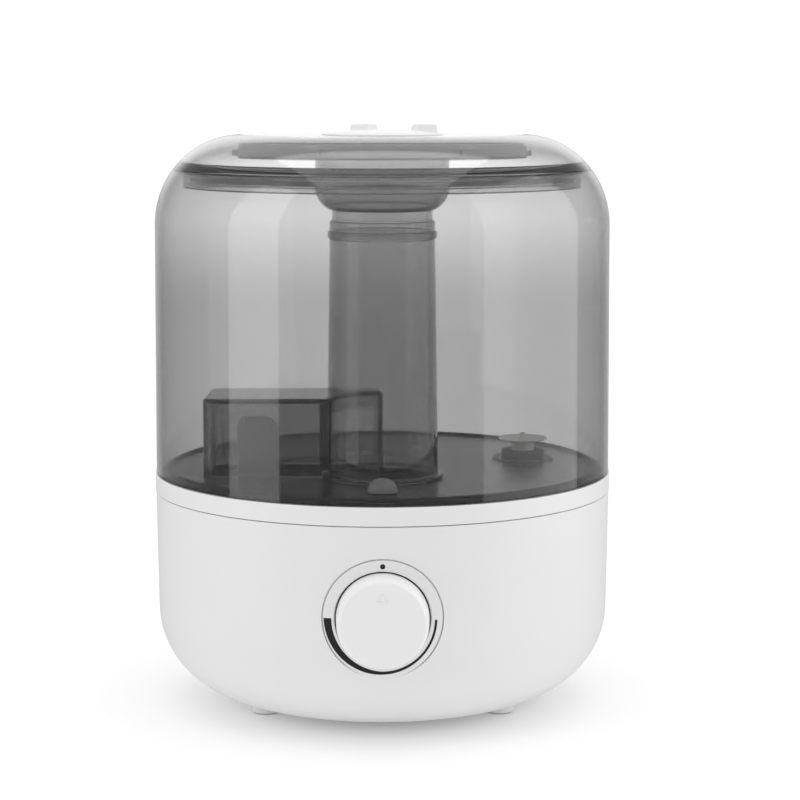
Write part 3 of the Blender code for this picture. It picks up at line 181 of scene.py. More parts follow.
def carried(path: np.ndarray, radius: float, sides: int = 10) -> np.ndarray:
    """Grid of a tube: a circle carried along a path, square to it in each place.

    The circle's two axes are the vertical direction made square to the path, and their cross product.

    Args:
        path: points of the centreline.
        radius: the tube's radius.
        sides: points round the circle.

    Returns:
        Array of points, path by circle, with both ends drawn in to the centreline.
    """
    along = np.gradient(path, axis=0)
    along /= np.linalg.norm(along, axis=1, keepdims=True)
    up = np.array([0.0, 0.0, 1.0]) - along * along[:, 2:3]
    up /= np.linalg.norm(up, axis=1, keepdims=True)
    side = np.cross(along, up)
    angle = np.linspace(0, math.tau, sides, endpoint=False)[None, :, None]
    tube = path[:, None] + radius * (up[:, None] * np.cos(angle) + side[:, None] * np.sin(angle))
    ends = [np.repeat(path[i, None, None], sides, axis=1) for i in (0, -1)]
    return np.concatenate([ends[0], tube, ends[1]])


def made(name: str, *grids: np.ndarray, ring: bool = True) -> bpy.types.Object:
    """A mesh object of quads between neighbouring points of each grid, merged, with faces outward.

    Args:
        name: the object's name.
        grids: arrays of points, rows by columns by 3.
        ring: whether the last row joins the first, as in a ring's section.

    Returns:
        The object, at the origin.
    """
    points, faces, start = [], [], 0
    for grid in grids:
        rows, columns = grid.shape[:2]
        i, j = np.meshgrid(np.arange(rows if ring else rows - 1), np.arange(columns), indexing="ij")
        below, right = (i + 1) % rows * columns, (j + 1) % columns
        quads = np.stack([i * columns + j, below + j, below + right, i * columns + right], axis=-1)
        points.append(grid.reshape(-1, 3))
        faces.append(quads.reshape(-1, 4) + start)
        start += rows * columns
    mesh = bpy.data.meshes.new(name)
    mesh.from_pydata(np.concatenate(points).tolist(), [], np.concatenate(faces).tolist())
    work = bmesh.new()
    work.from_mesh(mesh)
    bmesh.ops.remove_doubles(work, verts=work.verts, dist=1e-6)
    bmesh.ops.recalc_face_normals(work, faces=work.faces)
    work.to_mesh(mesh)
    work.free()
    piece = bpy.data.objects.new(name, mesh)
    bpy.context.scene.collection.objects.link(piece)
    return piece


def capped(grid: np.ndarray) -> np.ndarray:
    """Closes both ends of a grid: its first and last rows are drawn in to their middles."""
    ends = [np.repeat(grid[i].mean(axis=0)[None, None], grid.shape[1], axis=1) for i in (0, -1)]
    return np.concatenate([ends[0], grid, ends[1]])


def placed(grid: np.ndarray, matrix: Matrix) -> np.ndarray:
    """The grid's points moved by a 4 by 4 matrix."""
    table = np.array(matrix)
    return grid @ table[:3, :3].T + table[:3, 3]


def applied(piece: bpy.types.Object) -> bpy.types.Object:
    """Makes the piece's modifiers part of its mesh.

    Args:
        piece: the piece.

    Returns:
        The same piece.
    """
    graph = bpy.context.evaluated_depsgraph_get()
    mesh = bpy.data.meshes.new_from_object(piece.evaluated_get(graph))
    piece.modifiers.clear()
    piece.data = mesh
    return piece


def combined(piece: bpy.types.Object, tool: bpy.types.Object, operation: str) -> bpy.types.Object:
    """Joins a piece with another closed shape or cuts it by that shape, which is then removed.

    Args:
        piece: the piece.
        tool: the other shape.
        operation: UNION or DIFFERENCE.

    Returns:
        The same piece.
    """
    modifier = piece.modifiers.new("combine", "BOOLEAN")
    modifier.operation, modifier.object = operation, tool
    applied(piece)
    bpy.data.objects.remove(tool)
    return piece


def rod(
    name: str, radius: float, low: float, high: float, centre: tuple, columns: int = SMALL
) -> bpy.types.Object:
    """Upright cylinder, a rectangle (r, z) swept round its axis, to cut or join with.

    Args:
        name: the object's name.
        radius: its radius.
        low: its foot.
        high: its top.
        centre: x and y of its axis.
        columns: steps round it.

    Returns:
        The object.
    """
    section = outline((0, low), (radius, low), (radius, high), (0, high), closed=False)
    return made(name, turned(section, centre, columns), ring=False)


def prism(name: str, plan: np.ndarray, low: float, high: float) -> bpy.types.Object:
    """Upright closed prism, one plan at two heights, to cut or join with.

    Args:
        name: the object's name.
        plan: points (x, y).
        low: its foot.
        high: its top.

    Returns:
        The object.
    """
    return made(name, capped(stacked([plan, plan], [low, high])), ring=False)


# ---------------------------------------------------------------- finishes


def linear(code: str) -> tuple:
    """Linear red, green, blue and alpha of an sRGB hex colour."""
    values = [int(code[i : i + 2], 16) / 255 for i in (0, 2, 4)]
    return (*(v / 12.92 if v <= 0.04045 else ((v + 0.055) / 1.055) ** 2.4 for v in values), 1.0)


def add(
    tree: bpy.types.NodeTree,
    kind: str,
    values: dict | None = None,
    links: dict | None = None,
    **settings: object,
) -> bpy.types.Node:
    """Adds a node to a tree.

    Args:
        tree: node tree it goes in.
        kind: the node's type name.
        values: input name or number to constant.
        links: input name or number to output socket.
        settings: the node's own properties.

    Returns:
        The node.
    """
    node = tree.nodes.new(kind)
    for key, value in settings.items():
        setattr(node, key, value)
    for key, value in (values or {}).items():
        node.inputs[key].default_value = value
    for key, socket in (links or {}).items():
        tree.links.new(socket, node.inputs[key])
    return node


@dataclass(frozen=True)
class Finish:
    """A surface finish."""

    name: str
    slot: str  # the record's material slot
    colour: str  # sRGB hex
    roughness: float
    ior: float = 1.5
    metallic: float = 0.0
    grain: float = 0.9 * MM  # spacing of the surface's fine relief
    relief: float = 0.004 * MM  # its height
    spread: float = 0.06  # how far roughness wanders from place to place
    mottle: float = 0.03  # how far the colour wanders

    def shader(self, tree: bpy.types.NodeTree) -> bpy.types.Node:
        """A Principled shader with the finish's constants on its own sockets.

        Args:
            tree: the material's node tree.

        Returns:
            The shader node.
        """
        values = {"IOR": self.ior, "Metallic": self.metallic}
        place = add(tree, "ShaderNodeTexCoord").outputs["Object"]
        broad = add(tree, "ShaderNodeTexNoise", {"Scale": 1 / BLOTCH, "Detail": 3.0}, {"Vector": place})
        span = {"To Min": self.roughness - self.spread / 2, "To Max": self.roughness + self.spread / 2}
        rough = add(tree, "ShaderNodeMapRange", span, {"Value": broad.outputs["Fac"]})
        tint = linear(self.colour)
        dark = tuple(c * (1 - self.mottle) for c in tint[:3]) + (1.0,)
        colour = add(tree, "ShaderNodeMix", {6: tint, 7: dark}, {0: broad.outputs["Fac"]}, data_type="RGBA")
        fine = add(tree, "ShaderNodeTexNoise", {"Scale": 1 / self.grain, "Detail": 2.0}, {"Vector": place})
        lift = {"Strength": 1.0, "Distance": self.relief}
        bump = add(tree, "ShaderNodeBump", lift, {"Height": fine.outputs["Fac"]})
        links = {"Base Color": colour.outputs[2], "Roughness": rough.outputs[0], "Normal": bump.outputs[0]}
        return add(tree, "ShaderNodeBsdfPrincipled", values, links)

    def material(self) -> bpy.types.Material:
        """The finish's material, made once and then shared."""
        if self.name in bpy.data.materials:
            return bpy.data.materials[self.name]
        result = bpy.data.materials.new(self.name)
        result.use_nodes = True
        tree = result.node_tree
        tree.nodes.clear()
        self.complete(tree, self.shader(tree))
        return result

    def complete(self, tree: bpy.types.NodeTree, shader: bpy.types.Node) -> None:
        """Joins the shader to the material's output."""
        add(tree, "ShaderNodeOutputMaterial", links={"Surface": shader.outputs[0]})


@dataclass(frozen=True)
class ClearPlastic(Finish):
    """Injection-moulded transparent plastic: absorbs light per metre of path through its wall."""

    relief: float = 0.0
    spread: float = 0.02
    mottle: float = 0.0
    absorption: float = 165.0  # per metre
    clarity: float = 1.0  # share of light that passes instead of scattering

    def complete(self, tree: bpy.types.NodeTree, shader: bpy.types.Node) -> None:
        """Adds the transmission and the absorbing volume, then the output."""
        shader.inputs["Transmission Weight"].default_value = self.clarity
        values = {"Color": BLACK, "Density": self.absorption}
        volume = add(tree, "ShaderNodeVolumeAbsorption", values).outputs[0]
        add(tree, "ShaderNodeOutputMaterial", links={"Surface": shader.outputs[0], "Volume": volume})


@dataclass(frozen=True)
class BrushedMetal(Finish):
    """Metal with fine scratches one way: noise stretched along Z."""

    metallic: float = 1.0
    grain: float = 0.3 * MM

    def complete(self, tree: bpy.types.NodeTree, shader: bpy.types.Node) -> None:
        """Adds scratches to the normal, then the output."""
        place = add(tree, "ShaderNodeTexCoord").outputs["Object"]
        stretch = add(tree, "ShaderNodeMapping", {"Scale": (1.0, 1.0, 0.05)}, {"Vector": place})
        lines = add(tree, "ShaderNodeTexNoise", {"Scale": 1 / self.grain}, {"Vector": stretch.outputs[0]})
        bump = add(tree, "ShaderNodeBump", {"Distance": self.relief}, {"Height": lines.outputs["Fac"]})
        tree.links.new(bump.outputs[0], shader.inputs["Normal"])
        super().complete(tree, shader)


@dataclass(frozen=True)
class BoardLaminate(Finish):
    """Glass-epoxy board under solder mask: copper tracks show as a paler square net, 2.5 mm apart."""

    def complete(self, tree: bpy.types.NodeTree, shader: bpy.types.Node) -> None:
        """Adds the tracks to the colour, then the output."""
        place = add(tree, "ShaderNodeTexCoord").outputs["Object"]
        tint = linear(self.colour)
        pale = tuple(c * 1.8 for c in tint[:3]) + (1.0,)
        values = {"Color1": tint, "Color2": tint, "Mortar": pale}
        values |= {"Scale": 1 / TRACK_PITCH, "Mortar Size": 0.05}
        tracks = add(tree, "ShaderNodeTexBrick", values, {"Vector": place})
        tree.links.new(tracks.outputs["Color"], shader.inputs["Base Color"])
        super().complete(tree, shader)


class Finishes(Enum):
    """Every finish of the object, named for what the real one is."""

    # Injection-moulded ABS from a finely eroded mould: soft sheen, no mirror reflections
    SATIN_ABS = Finish("satin_abs", "white_abs", "EAEAEA", 0.38)
    # The same resin in a polished mould, for the knob: a tighter highlight
    POLISHED_ABS = Finish("polished_abs", "white_abs", "EFEFEF", 0.30, relief=0.002 * MM)
    # Inner ABS pieces, a little greyer
    GREY_ABS = Finish("grey_abs", "grey_white_abs", "D6D6D6", 0.42)
    # Smoked styrene-acrylonitrile: glossy, clear, grey through its thickness
    SMOKED_SAN = ClearPlastic("smoked_san", "smoked_clear", "FFFFFF", 0.03, absorption=198.0)
    # The same resin over the water basin, from an eroded mould: blurred reflections. Its smoked tint is real,
    # but its absorption, over three times the wall's, is painted shade of the dim basin beneath
    FLOOR_SAN = ClearPlastic(
        "floor_smoked_san", "smoked_clear", "FFFFFF", 0.24, spread=0.04, absorption=650.0
    )
    # The same resin in the thick inner mouldings: air channel and pipe
    DEEP_SAN = ClearPlastic("deep_smoked_san", "smoked_clear", "FFFFFF", 0.03, absorption=400.0)
    # The same resin with less tint, for the lid
    PALE_SAN = ClearPlastic("pale_san", "clear_plastic", "FFFFFF", 0.03, absorption=110.0)
    # Frosted light guide: light passes but scatters
    FROSTED_SAN = ClearPlastic(
        *("frosted_san", "frosted_clear", "C4C4C4", 0.2),
        relief=0.003 * MM,
        spread=0.06,
        mottle=0.02,
        absorption=90.0,
        clarity=0.3,
    )
    # Translucent moulded silicone: milky, soft sheen
    SILICONE = ClearPlastic(
        *("milky_silicone", "silicone", "FAFAF8", 0.40),
        ior=1.41,
        relief=0.004 * MM,
        spread=0.06,
        mottle=0.03,
        absorption=10.0,
        clarity=0.4,
    )
    # Clarified polypropylene: clear with a faint haze
    CLARIFIED_POLYPROPYLENE = ClearPlastic(
        *("clarified_polypropylene", "frosted_clear", "F4F4F4", 0.12),
        spread=0.06,
        absorption=45.0,
        clarity=0.85,
    )
    # Nitrile rubber: matt, near black
    BLACK_RUBBER = Finish("nitrile_rubber", "black_rubber", "242424", 0.7, relief=0.01 * MM)
    GREY_RUBBER = Finish("foot_rubber", "grey_rubber", "B8B8B8", 0.8, relief=0.01 * MM)
    # Glass-filled nylon of housings and fan: matt black with a visible grain
    BLACK_NYLON = Finish("black_nylon", "black_plastic", "1C1C1E", 0.55, relief=0.01 * MM)
    # Pad-printed ink: thin, satin, near black
    INK = Finish("pad_ink", "black_plastic", "19191A", 0.5, relief=0.0)
    # Zinc-plated steel, lightly brushed
    PLATED_STEEL = BrushedMetal("plated_steel", "plated_steel", "B8B8BA", 0.3)
    # Extruded aluminium
    ALUMINIUM = BrushedMetal("extruded_aluminium", "aluminium", "C9CACC", 0.35)
    # Silvered brass face of the ultrasonic plate
    SILVERED_BRASS = BrushedMetal("silvered_brass", "silvered_brass", "C8B27A", 0.3)
    # Enamelled winding wire
    COPPER = BrushedMetal("enamelled_copper", "copper_wire", "B4693A", 0.35)
    BOARD = BoardLaminate("board_laminate", "circuit_board", "1F5C3A", 0.45)


def dressed(piece: bpy.types.Object, finish: Finishes, body: str, *nodes: str) -> bpy.types.Object:
    """Gives a piece its shading, material, body and the nodes that it stands for.

    Args:
        piece: the finished mesh.
        finish: its finish.
        body: the body it rides on.
        nodes: nodes of the frame that it replaces.

    Returns:
        The same piece.
    """
    piece.data.materials.clear()
    piece.data.materials.append(finish.value.material())
    piece.data.shade_smooth()
    piece.data.set_sharp_from_angle(angle=math.radians(32))
    even = piece.modifiers.new("even_normals", "WEIGHTED_NORMAL")
    even.keep_sharp = True
    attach(piece, body)
    if nodes:
        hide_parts(*nodes)
    LOG.info("%s: %s, rides on %s", piece.name, finish.value.name, body)
    return piece


# ---------------------------------------------------------------- places


def middle(node: str) -> Vector:
    """Middle of a node's box."""
    low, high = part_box(node)
    return (low + high) / 2


def low_z(node: str) -> float:
    """Height of a node's lowest point."""
    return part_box(node)[0].z


def high_z(node: str) -> float:
    """Height of a node's highest point."""
    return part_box(node)[1].z


AXIS = (0.0, middle("tank_shell").y)
MIST_AXIS = (0.0, middle("tube_collar").y)


@dataclass
class Base:
    """White base: housing, deck with the water basin, and what stands in it."""

    top_radius: float = 94.8 * MM
    low_radius: float = 94.1 * MM
    band_radius: float = 95.0 * MM
    fillet: float = 36.5 * MM
    wall: float = 2.4 * MM
    opening: float = 47.3 * MM
    rim: float = 2.4 * MM
    basin_radius: float = 72.0 * MM
    basin_depth: float = 21.0 * MM
    edge: float = 0.35 * MM
    foot_radius: float = 6.4 * MM
    duct_wall: float = 1.6 * MM

    def __post_init__(self) -> None:
        """Reads the heights that the frame gives."""
        self.underside = low_z("bottom_cover")
        self.top = high_z("base_housing")
        self.deck_top = high_z("base_deck") - 3.8 * MM
        self.basin_floor = self.deck_top - self.basin_depth

    def wall_radius(self, height: np.ndarray) -> np.ndarray:
        """Outer radius of the leaning side: it grows evenly from the fillet's end to the top."""
        start = self.underside + self.fillet
        return self.low_radius + (self.top_radius - self.low_radius) * (height - start) / (self.top - start)

    def side(self, inset: float, rows: int) -> np.ndarray:
        """Points (r, z) up the leaning side, set in from the outside."""
        height = np.linspace(self.underside + self.fillet, self.top - 2 * self.edge, rows)[1:]
        return np.stack([self.wall_radius(height) - inset, height], axis=1)

    def housing(self, dial: "Dial") -> bpy.types.Object:
        """Outer shell: flat underside, quarter-round fillet, leaning side, four feet, two openings."""
        centre = (self.low_radius - self.fillet, self.underside + self.fillet)
        inner = self.fillet - self.wall
        section = outline(
            (self.opening, self.underside, self.edge),
            arc(centre, (self.fillet, self.fillet), -90, 0, 24),
            self.side(0, 20),
            (self.top_radius, self.top, self.edge),
            (self.top_radius - self.wall, self.top, self.edge),
            self.side(self.wall, 6)[::-1],
            arc(centre, (inner, inner), 0, -90, 12),
            (self.opening, self.underside + self.wall, self.edge),
        )
        shell = made("base_shell", turned(section, AXIS, FINEST))
        pad, sole = 5.9 * MM, 0.6 * MM
        foot = outline(
            (pad, sole, 0.15 * MM),
            (self.foot_radius, sole, 0.3 * MM),
            (self.foot_radius, self.underside + self.wall + 1 * MM),
            (pad, self.underside + self.wall + 1 * MM),
        )
        places = [middle(f"foot_pad_{number}")[:2] for number in range(1, 5)]
        combined(shell, made("feet", *(turned(foot, place, SMALL) for place in places)), "UNION")
        combined(shell, dial.opening(), "DIFFERENCE")
        combined(shell, Socket().hole(), "DIFFERENCE")
        return dressed(shell, Finishes.SATIN_ABS, "base", "base_housing")

    def deck(self) -> bpy.types.Object:
        """Band, deck and basin in one turned section, with posts joined on and holes cut through."""
        low = low_z("base_deck")
        band_low, top = self.top + GAP, high_z("base_deck")
        skirt = self.top_radius - self.wall - GAP
        floor, under = self.basin_floor, self.basin_floor - self.wall
        section = outline(
            (0, floor),
            (self.basin_radius, floor, 2.2 * MM),
            (self.basin_radius, self.deck_top, 1.2 * MM),
            (self.band_radius - self.rim, self.deck_top, 0.8 * MM),
            (self.band_radius - self.rim, top, self.edge),
            (self.band_radius, top, self.edge),
            (self.band_radius, band_low, self.edge),
            (skirt, band_low),
            (skirt, band_low - 2 * self.wall, self.edge),
            (skirt - self.wall, band_low - 2 * self.wall, self.edge),
            (skirt - self.wall, self.deck_top - self.wall),
            (self.basin_radius + self.wall, self.deck_top - self.wall),
            (self.basin_radius + self.wall, under, 1.2 * MM),
            (0, under),
            closed=False,
        )
        deck = made("water_deck", turned(section, AXIS, FINE), ring=False)
        rooted = (floor + under) / 2
        light, valve, cap = middle("indicator_light"), middle("valve_plunger"), middle("float_cap")
        posts = [
            (light, 5.6 * MM, low_z("tank_floor") + 3.6 * MM),
            (valve, 3.0 * MM, low_z("valve_plunger") - GAP),
            (cap, 3.0 * MM, low_z("float_cap") + 2 * MM),
        ]
        for place, radius, high in posts:
            post = outline((0, rooted), (radius, rooted), (radius, high, self.edge), (0, high), closed=False)
            combined(deck, made("post", turned(post, place[:2], SMALL), ring=False), "UNION")
        pillar = outline((1.5 * MM, low), (3.2 * MM, low), (3.2 * MM, rooted), (1.5 * MM, rooted))
        for number in range(1, 5):
            place = middle(f"cover_screw_{number}")[:2]
            combined(deck, made("pillar", turned(pillar, place, SMALL)), "UNION")
        below, above = under - MM, floor + MM
        hole = rod("light_hole", 4.0 * MM, below, self.deck_top + 8.0 * MM, light[:2])
        combined(deck, hole, "DIFFERENCE")
        combined(deck, rod("mist_hole", 10.0 * MM, below, above, MIST_AXIS), "DIFFERENCE")
        bore = rounded_rectangle(12.8 * MM, 16.8 * MM, 0.5 * MM) + np.array(middle("air_tower")[:2])
        combined(deck, prism("air_hole", bore, below, above), "DIFFERENCE")
        return dressed(deck, Finishes.SATIN_ABS, "base", "base_deck")

    def air_tower(self) -> bpy.types.Object:
        """Chimney: a rounded box whose right shoulder is a quarter circle, with a straight bore."""
        low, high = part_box("air_tower")
        width, depth = high.x - low.x, high.y - low.y
        turn = width * 0.4
        side = outline(
            (low.x, low.z, self.edge),
            (low.x, high.z, 0.8 * MM),
            arc((high.x - turn, high.z - turn), (turn, turn), 90, 0, 10),
            (high.x, low.z, self.edge),
        )
        soft = 0.5 * MM
        centre = (low + high) / 2
        inner = side + (np.array([[centre.x, centre.z]]) - side) * 0.04
        rows = [(inner, low.y), (side, low.y + soft), (side, high.y - soft), (inner, high.y)]
        grid = np.stack([np.c_[plan[:, 0], np.full(len(plan), y), plan[:, 1]] for plan, y in rows])
        tower = made("air_chimney", capped(grid), ring=False)
        wall = self.duct_wall
        bore = rounded_rectangle(width - 2 * wall, depth - 2 * wall, 0.5 * MM) + np.array(centre[:2])
        combined(tower, prism("bore", bore, low.z - MM, high.z + MM), "DIFFERENCE")
        return dressed(tower, Finishes.SATIN_ABS, "base", "air_tower")

    def build(self, dial: "Dial") -> None:
        """Builds the housing, deck and chimney."""
        self.housing(dial)
        self.deck()
        self.air_tower()


@dataclass
class Dial:
    """Round plate let into the front wall, its printed scale, and the knob."""

    base: Base
    radius: float = 23.6 * MM
    groove: float = 0.6 * MM
    well_depth: float = 1.8 * MM
    knob_radius: float = 18.0 * MM
    knob_reach: float = 10.0 * MM
    bush: float = 4.5 * MM

    def __post_init__(self) -> None:
        """Finds the dial's centre on the wall."""
        self.height = middle("knob_cap").z
        self.face = float(self.base.wall_radius(np.array(self.height)))
        place = Matrix.Translation((0, AXIS[1] - self.face, self.height))
        self.matrix = place @ Matrix.Rotation(math.pi / 2, 4, "X")

    def wall(self, x: np.ndarray, y: np.ndarray) -> np.ndarray:
        """Height of the curved wall over the dial's plane: its circle's reach less that at the middle."""
        return np.sqrt(self.base.wall_radius(self.height + y) ** 2 - x**2) - self.face

    def opening(self) -> bpy.types.Object:
        """Cylinder that cuts the round opening in the front wall."""
        reach = 40 * MM
        section = outline((0, -reach), (self.radius, -reach), (self.radius, reach), (0, reach), closed=False)
        return made("dial_opening", placed(turned(section, (0, 0)), self.matrix), ring=False)

    def plate(self) -> bpy.types.Object:
        """Plate on a polar grid: each ring of the section is flat (share 0) or follows the wall (share 1)."""
        well, rim, edge = self.knob_radius + 0.6 * MM, self.radius - 0.04 * MM, 0.25 * MM
        lip = self.radius - self.groove
        thick = self.base.wall
        rows = np.array(
            [
                (self.bush, 0, -self.well_depth),
                (well - edge, 0, -self.well_depth),
                (well, 1, 0 - edge),
                (well + edge, 1, 0),
                (lip - edge * 0.3, 1, 0),
                (lip, 1, -edge * 0.3),
                (lip + edge * 0.2, 1, -1.1 * MM),
                (rim, 1, -1.1 * MM),
                (rim, 1, -thick),
                (self.bush, 1, -thick),
            ]
        )
        angle = np.linspace(0, math.tau, FINE, endpoint=False)
        radius, share, offset = rows[:, 0, None], rows[:, 1, None], rows[:, 2, None]
        x, y = radius * np.cos(angle), radius * np.sin(angle)
        z = share * self.wall(x, y) + offset
        z = np.where(share < 1, np.minimum(-self.well_depth, self.wall(x, y)), z)
        face = made("dial_face", placed(np.stack([x, y, z], axis=-1), self.matrix))
        return dressed(face, Finishes.SATIN_ABS, "base", "dial_plate")

    def printed(self, name: str, inner: np.ndarray, outer: np.ndarray, angle: np.ndarray) -> bpy.types.Object:
        """Thin print that follows the wall: a four-cornered section carried round the dial.

        Args:
            name: the piece's name.
            inner: inner radius at each angle.
            outer: outer radius at each angle.
            angle: angles about the dial's axis.

        Returns:
            The dressed piece.
        """
        lift = np.array([-0.03, -0.03, 0.05, 0.05]) * MM
        radius = np.stack([inner, outer, outer, inner])
        x, y = radius * np.cos(angle), radius * np.sin(angle)
        grid = np.stack([x, y, self.wall(x, y) + lift[:, None]], axis=-1).transpose(1, 0, 2)
        return dressed(made(name, placed(capped(grid), self.matrix), ring=False), Finishes.INK, "base")

    def marks(self) -> None:
        """The output scale, a crescent from nine o'clock round to three, and a dot for off at twelve."""
        angle = np.radians(np.linspace(180, 358, 120))
        turn = (np.degrees(angle) - 180) / 90
        outer = np.interp(turn, [0, 0.5, 1, 1.5, 2], [22.75, 22.3, 21.75, 21.3, 20.95]) * MM
        inner = np.interp(turn, [0, 0.5, 1, 1.5, 2], [19.75, 19.95, 20.55, 20.4, 20.05]) * MM
        self.printed("output_scale", inner, outer, angle)
        lift, radius = 20.6 * MM, 1.0 * MM
        turn = np.linspace(0, math.tau, SMALL, endpoint=False)
        rings = np.array([(0.0, -0.03), (1.0, -0.03), (1.0, 0.05), (0.0, 0.05)])
        x = rings[:, 0, None] * radius * np.cos(turn)
        y = lift + rings[:, 0, None] * radius * np.sin(turn)
        z = self.wall(x, y) + rings[:, 1, None] * MM
        dot = made("off_dot", placed(np.stack([x, y, z], axis=-1), self.matrix), ring=False)
        dressed(dot, Finishes.INK, "base")

    def knob(self) -> bpy.types.Object:
        """Turned cap with a crowned face, a broad rounded edge and a skirt that drops into the well."""
        r, top, low = self.knob_radius, self.knob_reach, -self.well_depth + 0.6 * MM
        wall, hub, hub_low = 1.8 * MM, 5.1 * MM, 0.8 * MM
        section = outline(
            (0, top - 0.15 * MM),
            (r * 0.6, top - 0.22 * MM),
            (r - 1.6 * MM, top - 0.45 * MM, 1.4 * MM),
            (r - 0.3 * MM, top - 2.7 * MM, 2.0 * MM),
            (r, low, 0.3 * MM),
            (r - wall, low, 0.3 * MM),
            (r - wall, top - wall - 0.4 * MM, 0.8 * MM),
            (hub, top - wall - 0.4 * MM),
            (hub, hub_low, 0.2 * MM),
            (3.3 * MM, hub_low, 0.2 * MM),
            (3.3 * MM, top - wall),
            (0, top - wall),
            closed=False,
        )
        cap = made("knob", placed(turned(section, (0, 0)), self.matrix), ring=False)
        return dressed(cap, Finishes.POLISHED_ABS, "knob", "knob_cap")

    def pointer(self) -> bpy.types.Object:
        """Raised outline triangle on the knob: a low ridge carried round three corners."""
        corners = np.array([(0.0, 2.5), (-2.35, -1.25), (2.35, -1.25)])
        middle_y = 10.3
        scales = np.array([0.86, 0.94, 1.06, 1.14, 1.04, 0.96])
        lift = np.array([-0.3, 0.0, 0.0, -0.3, -0.5, -0.5])
        spans = corners * scales[:, None, None] + (0, middle_y)
        points = np.concatenate([spans, np.broadcast_to(lift[:, None, None], (6, 3, 1))], axis=-1) * MM
        points[..., 2] += self.knob_reach - 0.01 * MM
        return dressed(made("knob_arrow", placed(points, self.matrix)), Finishes.POLISHED_ABS, "knob")

    def painted_shade_ring(self) -> bpy.types.Object:
        """Thin black ring on the well's floor under the knob's edge: painted shade that darkens the gap round
        the knob.
        """
        inner, outer = self.knob_radius - 2.2 * MM, self.knob_radius + 0.5 * MM
        low, high = -self.well_depth + 0.05 * MM, -self.well_depth + 0.3 * MM
        section = outline((inner, low), (outer, low), (outer, high), (inner, high))
        painted_shade_ring = made("dial_painted_shade_ring", placed(turned(section, (0, 0)), self.matrix))
        # black rubber here paints the shade in the gap between knob and well
        return dressed(painted_shade_ring, Finishes.BLACK_RUBBER, "base")

    def build(self) -> None:
        """Builds the plate, the ring of painted shade in its well, the print and the knob."""
        self.plate()
        self.painted_shade_ring()
        self.marks()
        self.knob()
        self.pointer()


@dataclass
class Socket:
    """Low-voltage socket in the rear wall."""

    radius: float = 5.0 * MM

    def matrix(self) -> Matrix:
        """The socket's own frame: its axis runs out of the rear wall."""
        place = middle("dc_jack")
        mouth = Matrix.Translation((0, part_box("dc_jack")[1].y + GAP, place.z))
        return mouth @ Matrix.Rotation(-math.pi / 2, 4, "X")

    def hole(self) -> bpy.types.Object:
        """Cylinder that cuts the socket's hole."""
        wide = self.radius + GAP
        section = outline((0, -5 * MM), (wide, -5 * MM), (wide, 2 * MM), (0, 2 * MM), closed=False)
        return made("socket_hole", placed(turned(section, (0, 0), SMALL), self.matrix()), ring=False)

    def build(self) -> None:
        """Turned barrel with a stepped flange inside the wall and a centre pin in its bore."""
        face, back, flange = -GAP, -13.3 * MM, -4.0 * MM
        section = outline(
            (0, back),
            (6.5 * MM, back, 0.4 * MM),
            (6.5 * MM, flange, 0.4 * MM),
            (self.radius, flange),
            (self.radius, face, 0.4 * MM),
            (3.4 * MM, face, 0.5 * MM),
            (3.4 * MM, back + 1.6 * MM),
            (1.0 * MM, back + 1.6 * MM),
            (1.0 * MM, face - 6.5 * MM, 0.6 * MM),
            (0, face - 6.5 * MM),
            closed=False,
        )
        barrel = made("power_socket", placed(turned(section, (0, 0), SMALL), self.matrix()), ring=False)
        dressed(barrel, Finishes.BLACK_NYLON, "base", "dc_jack")


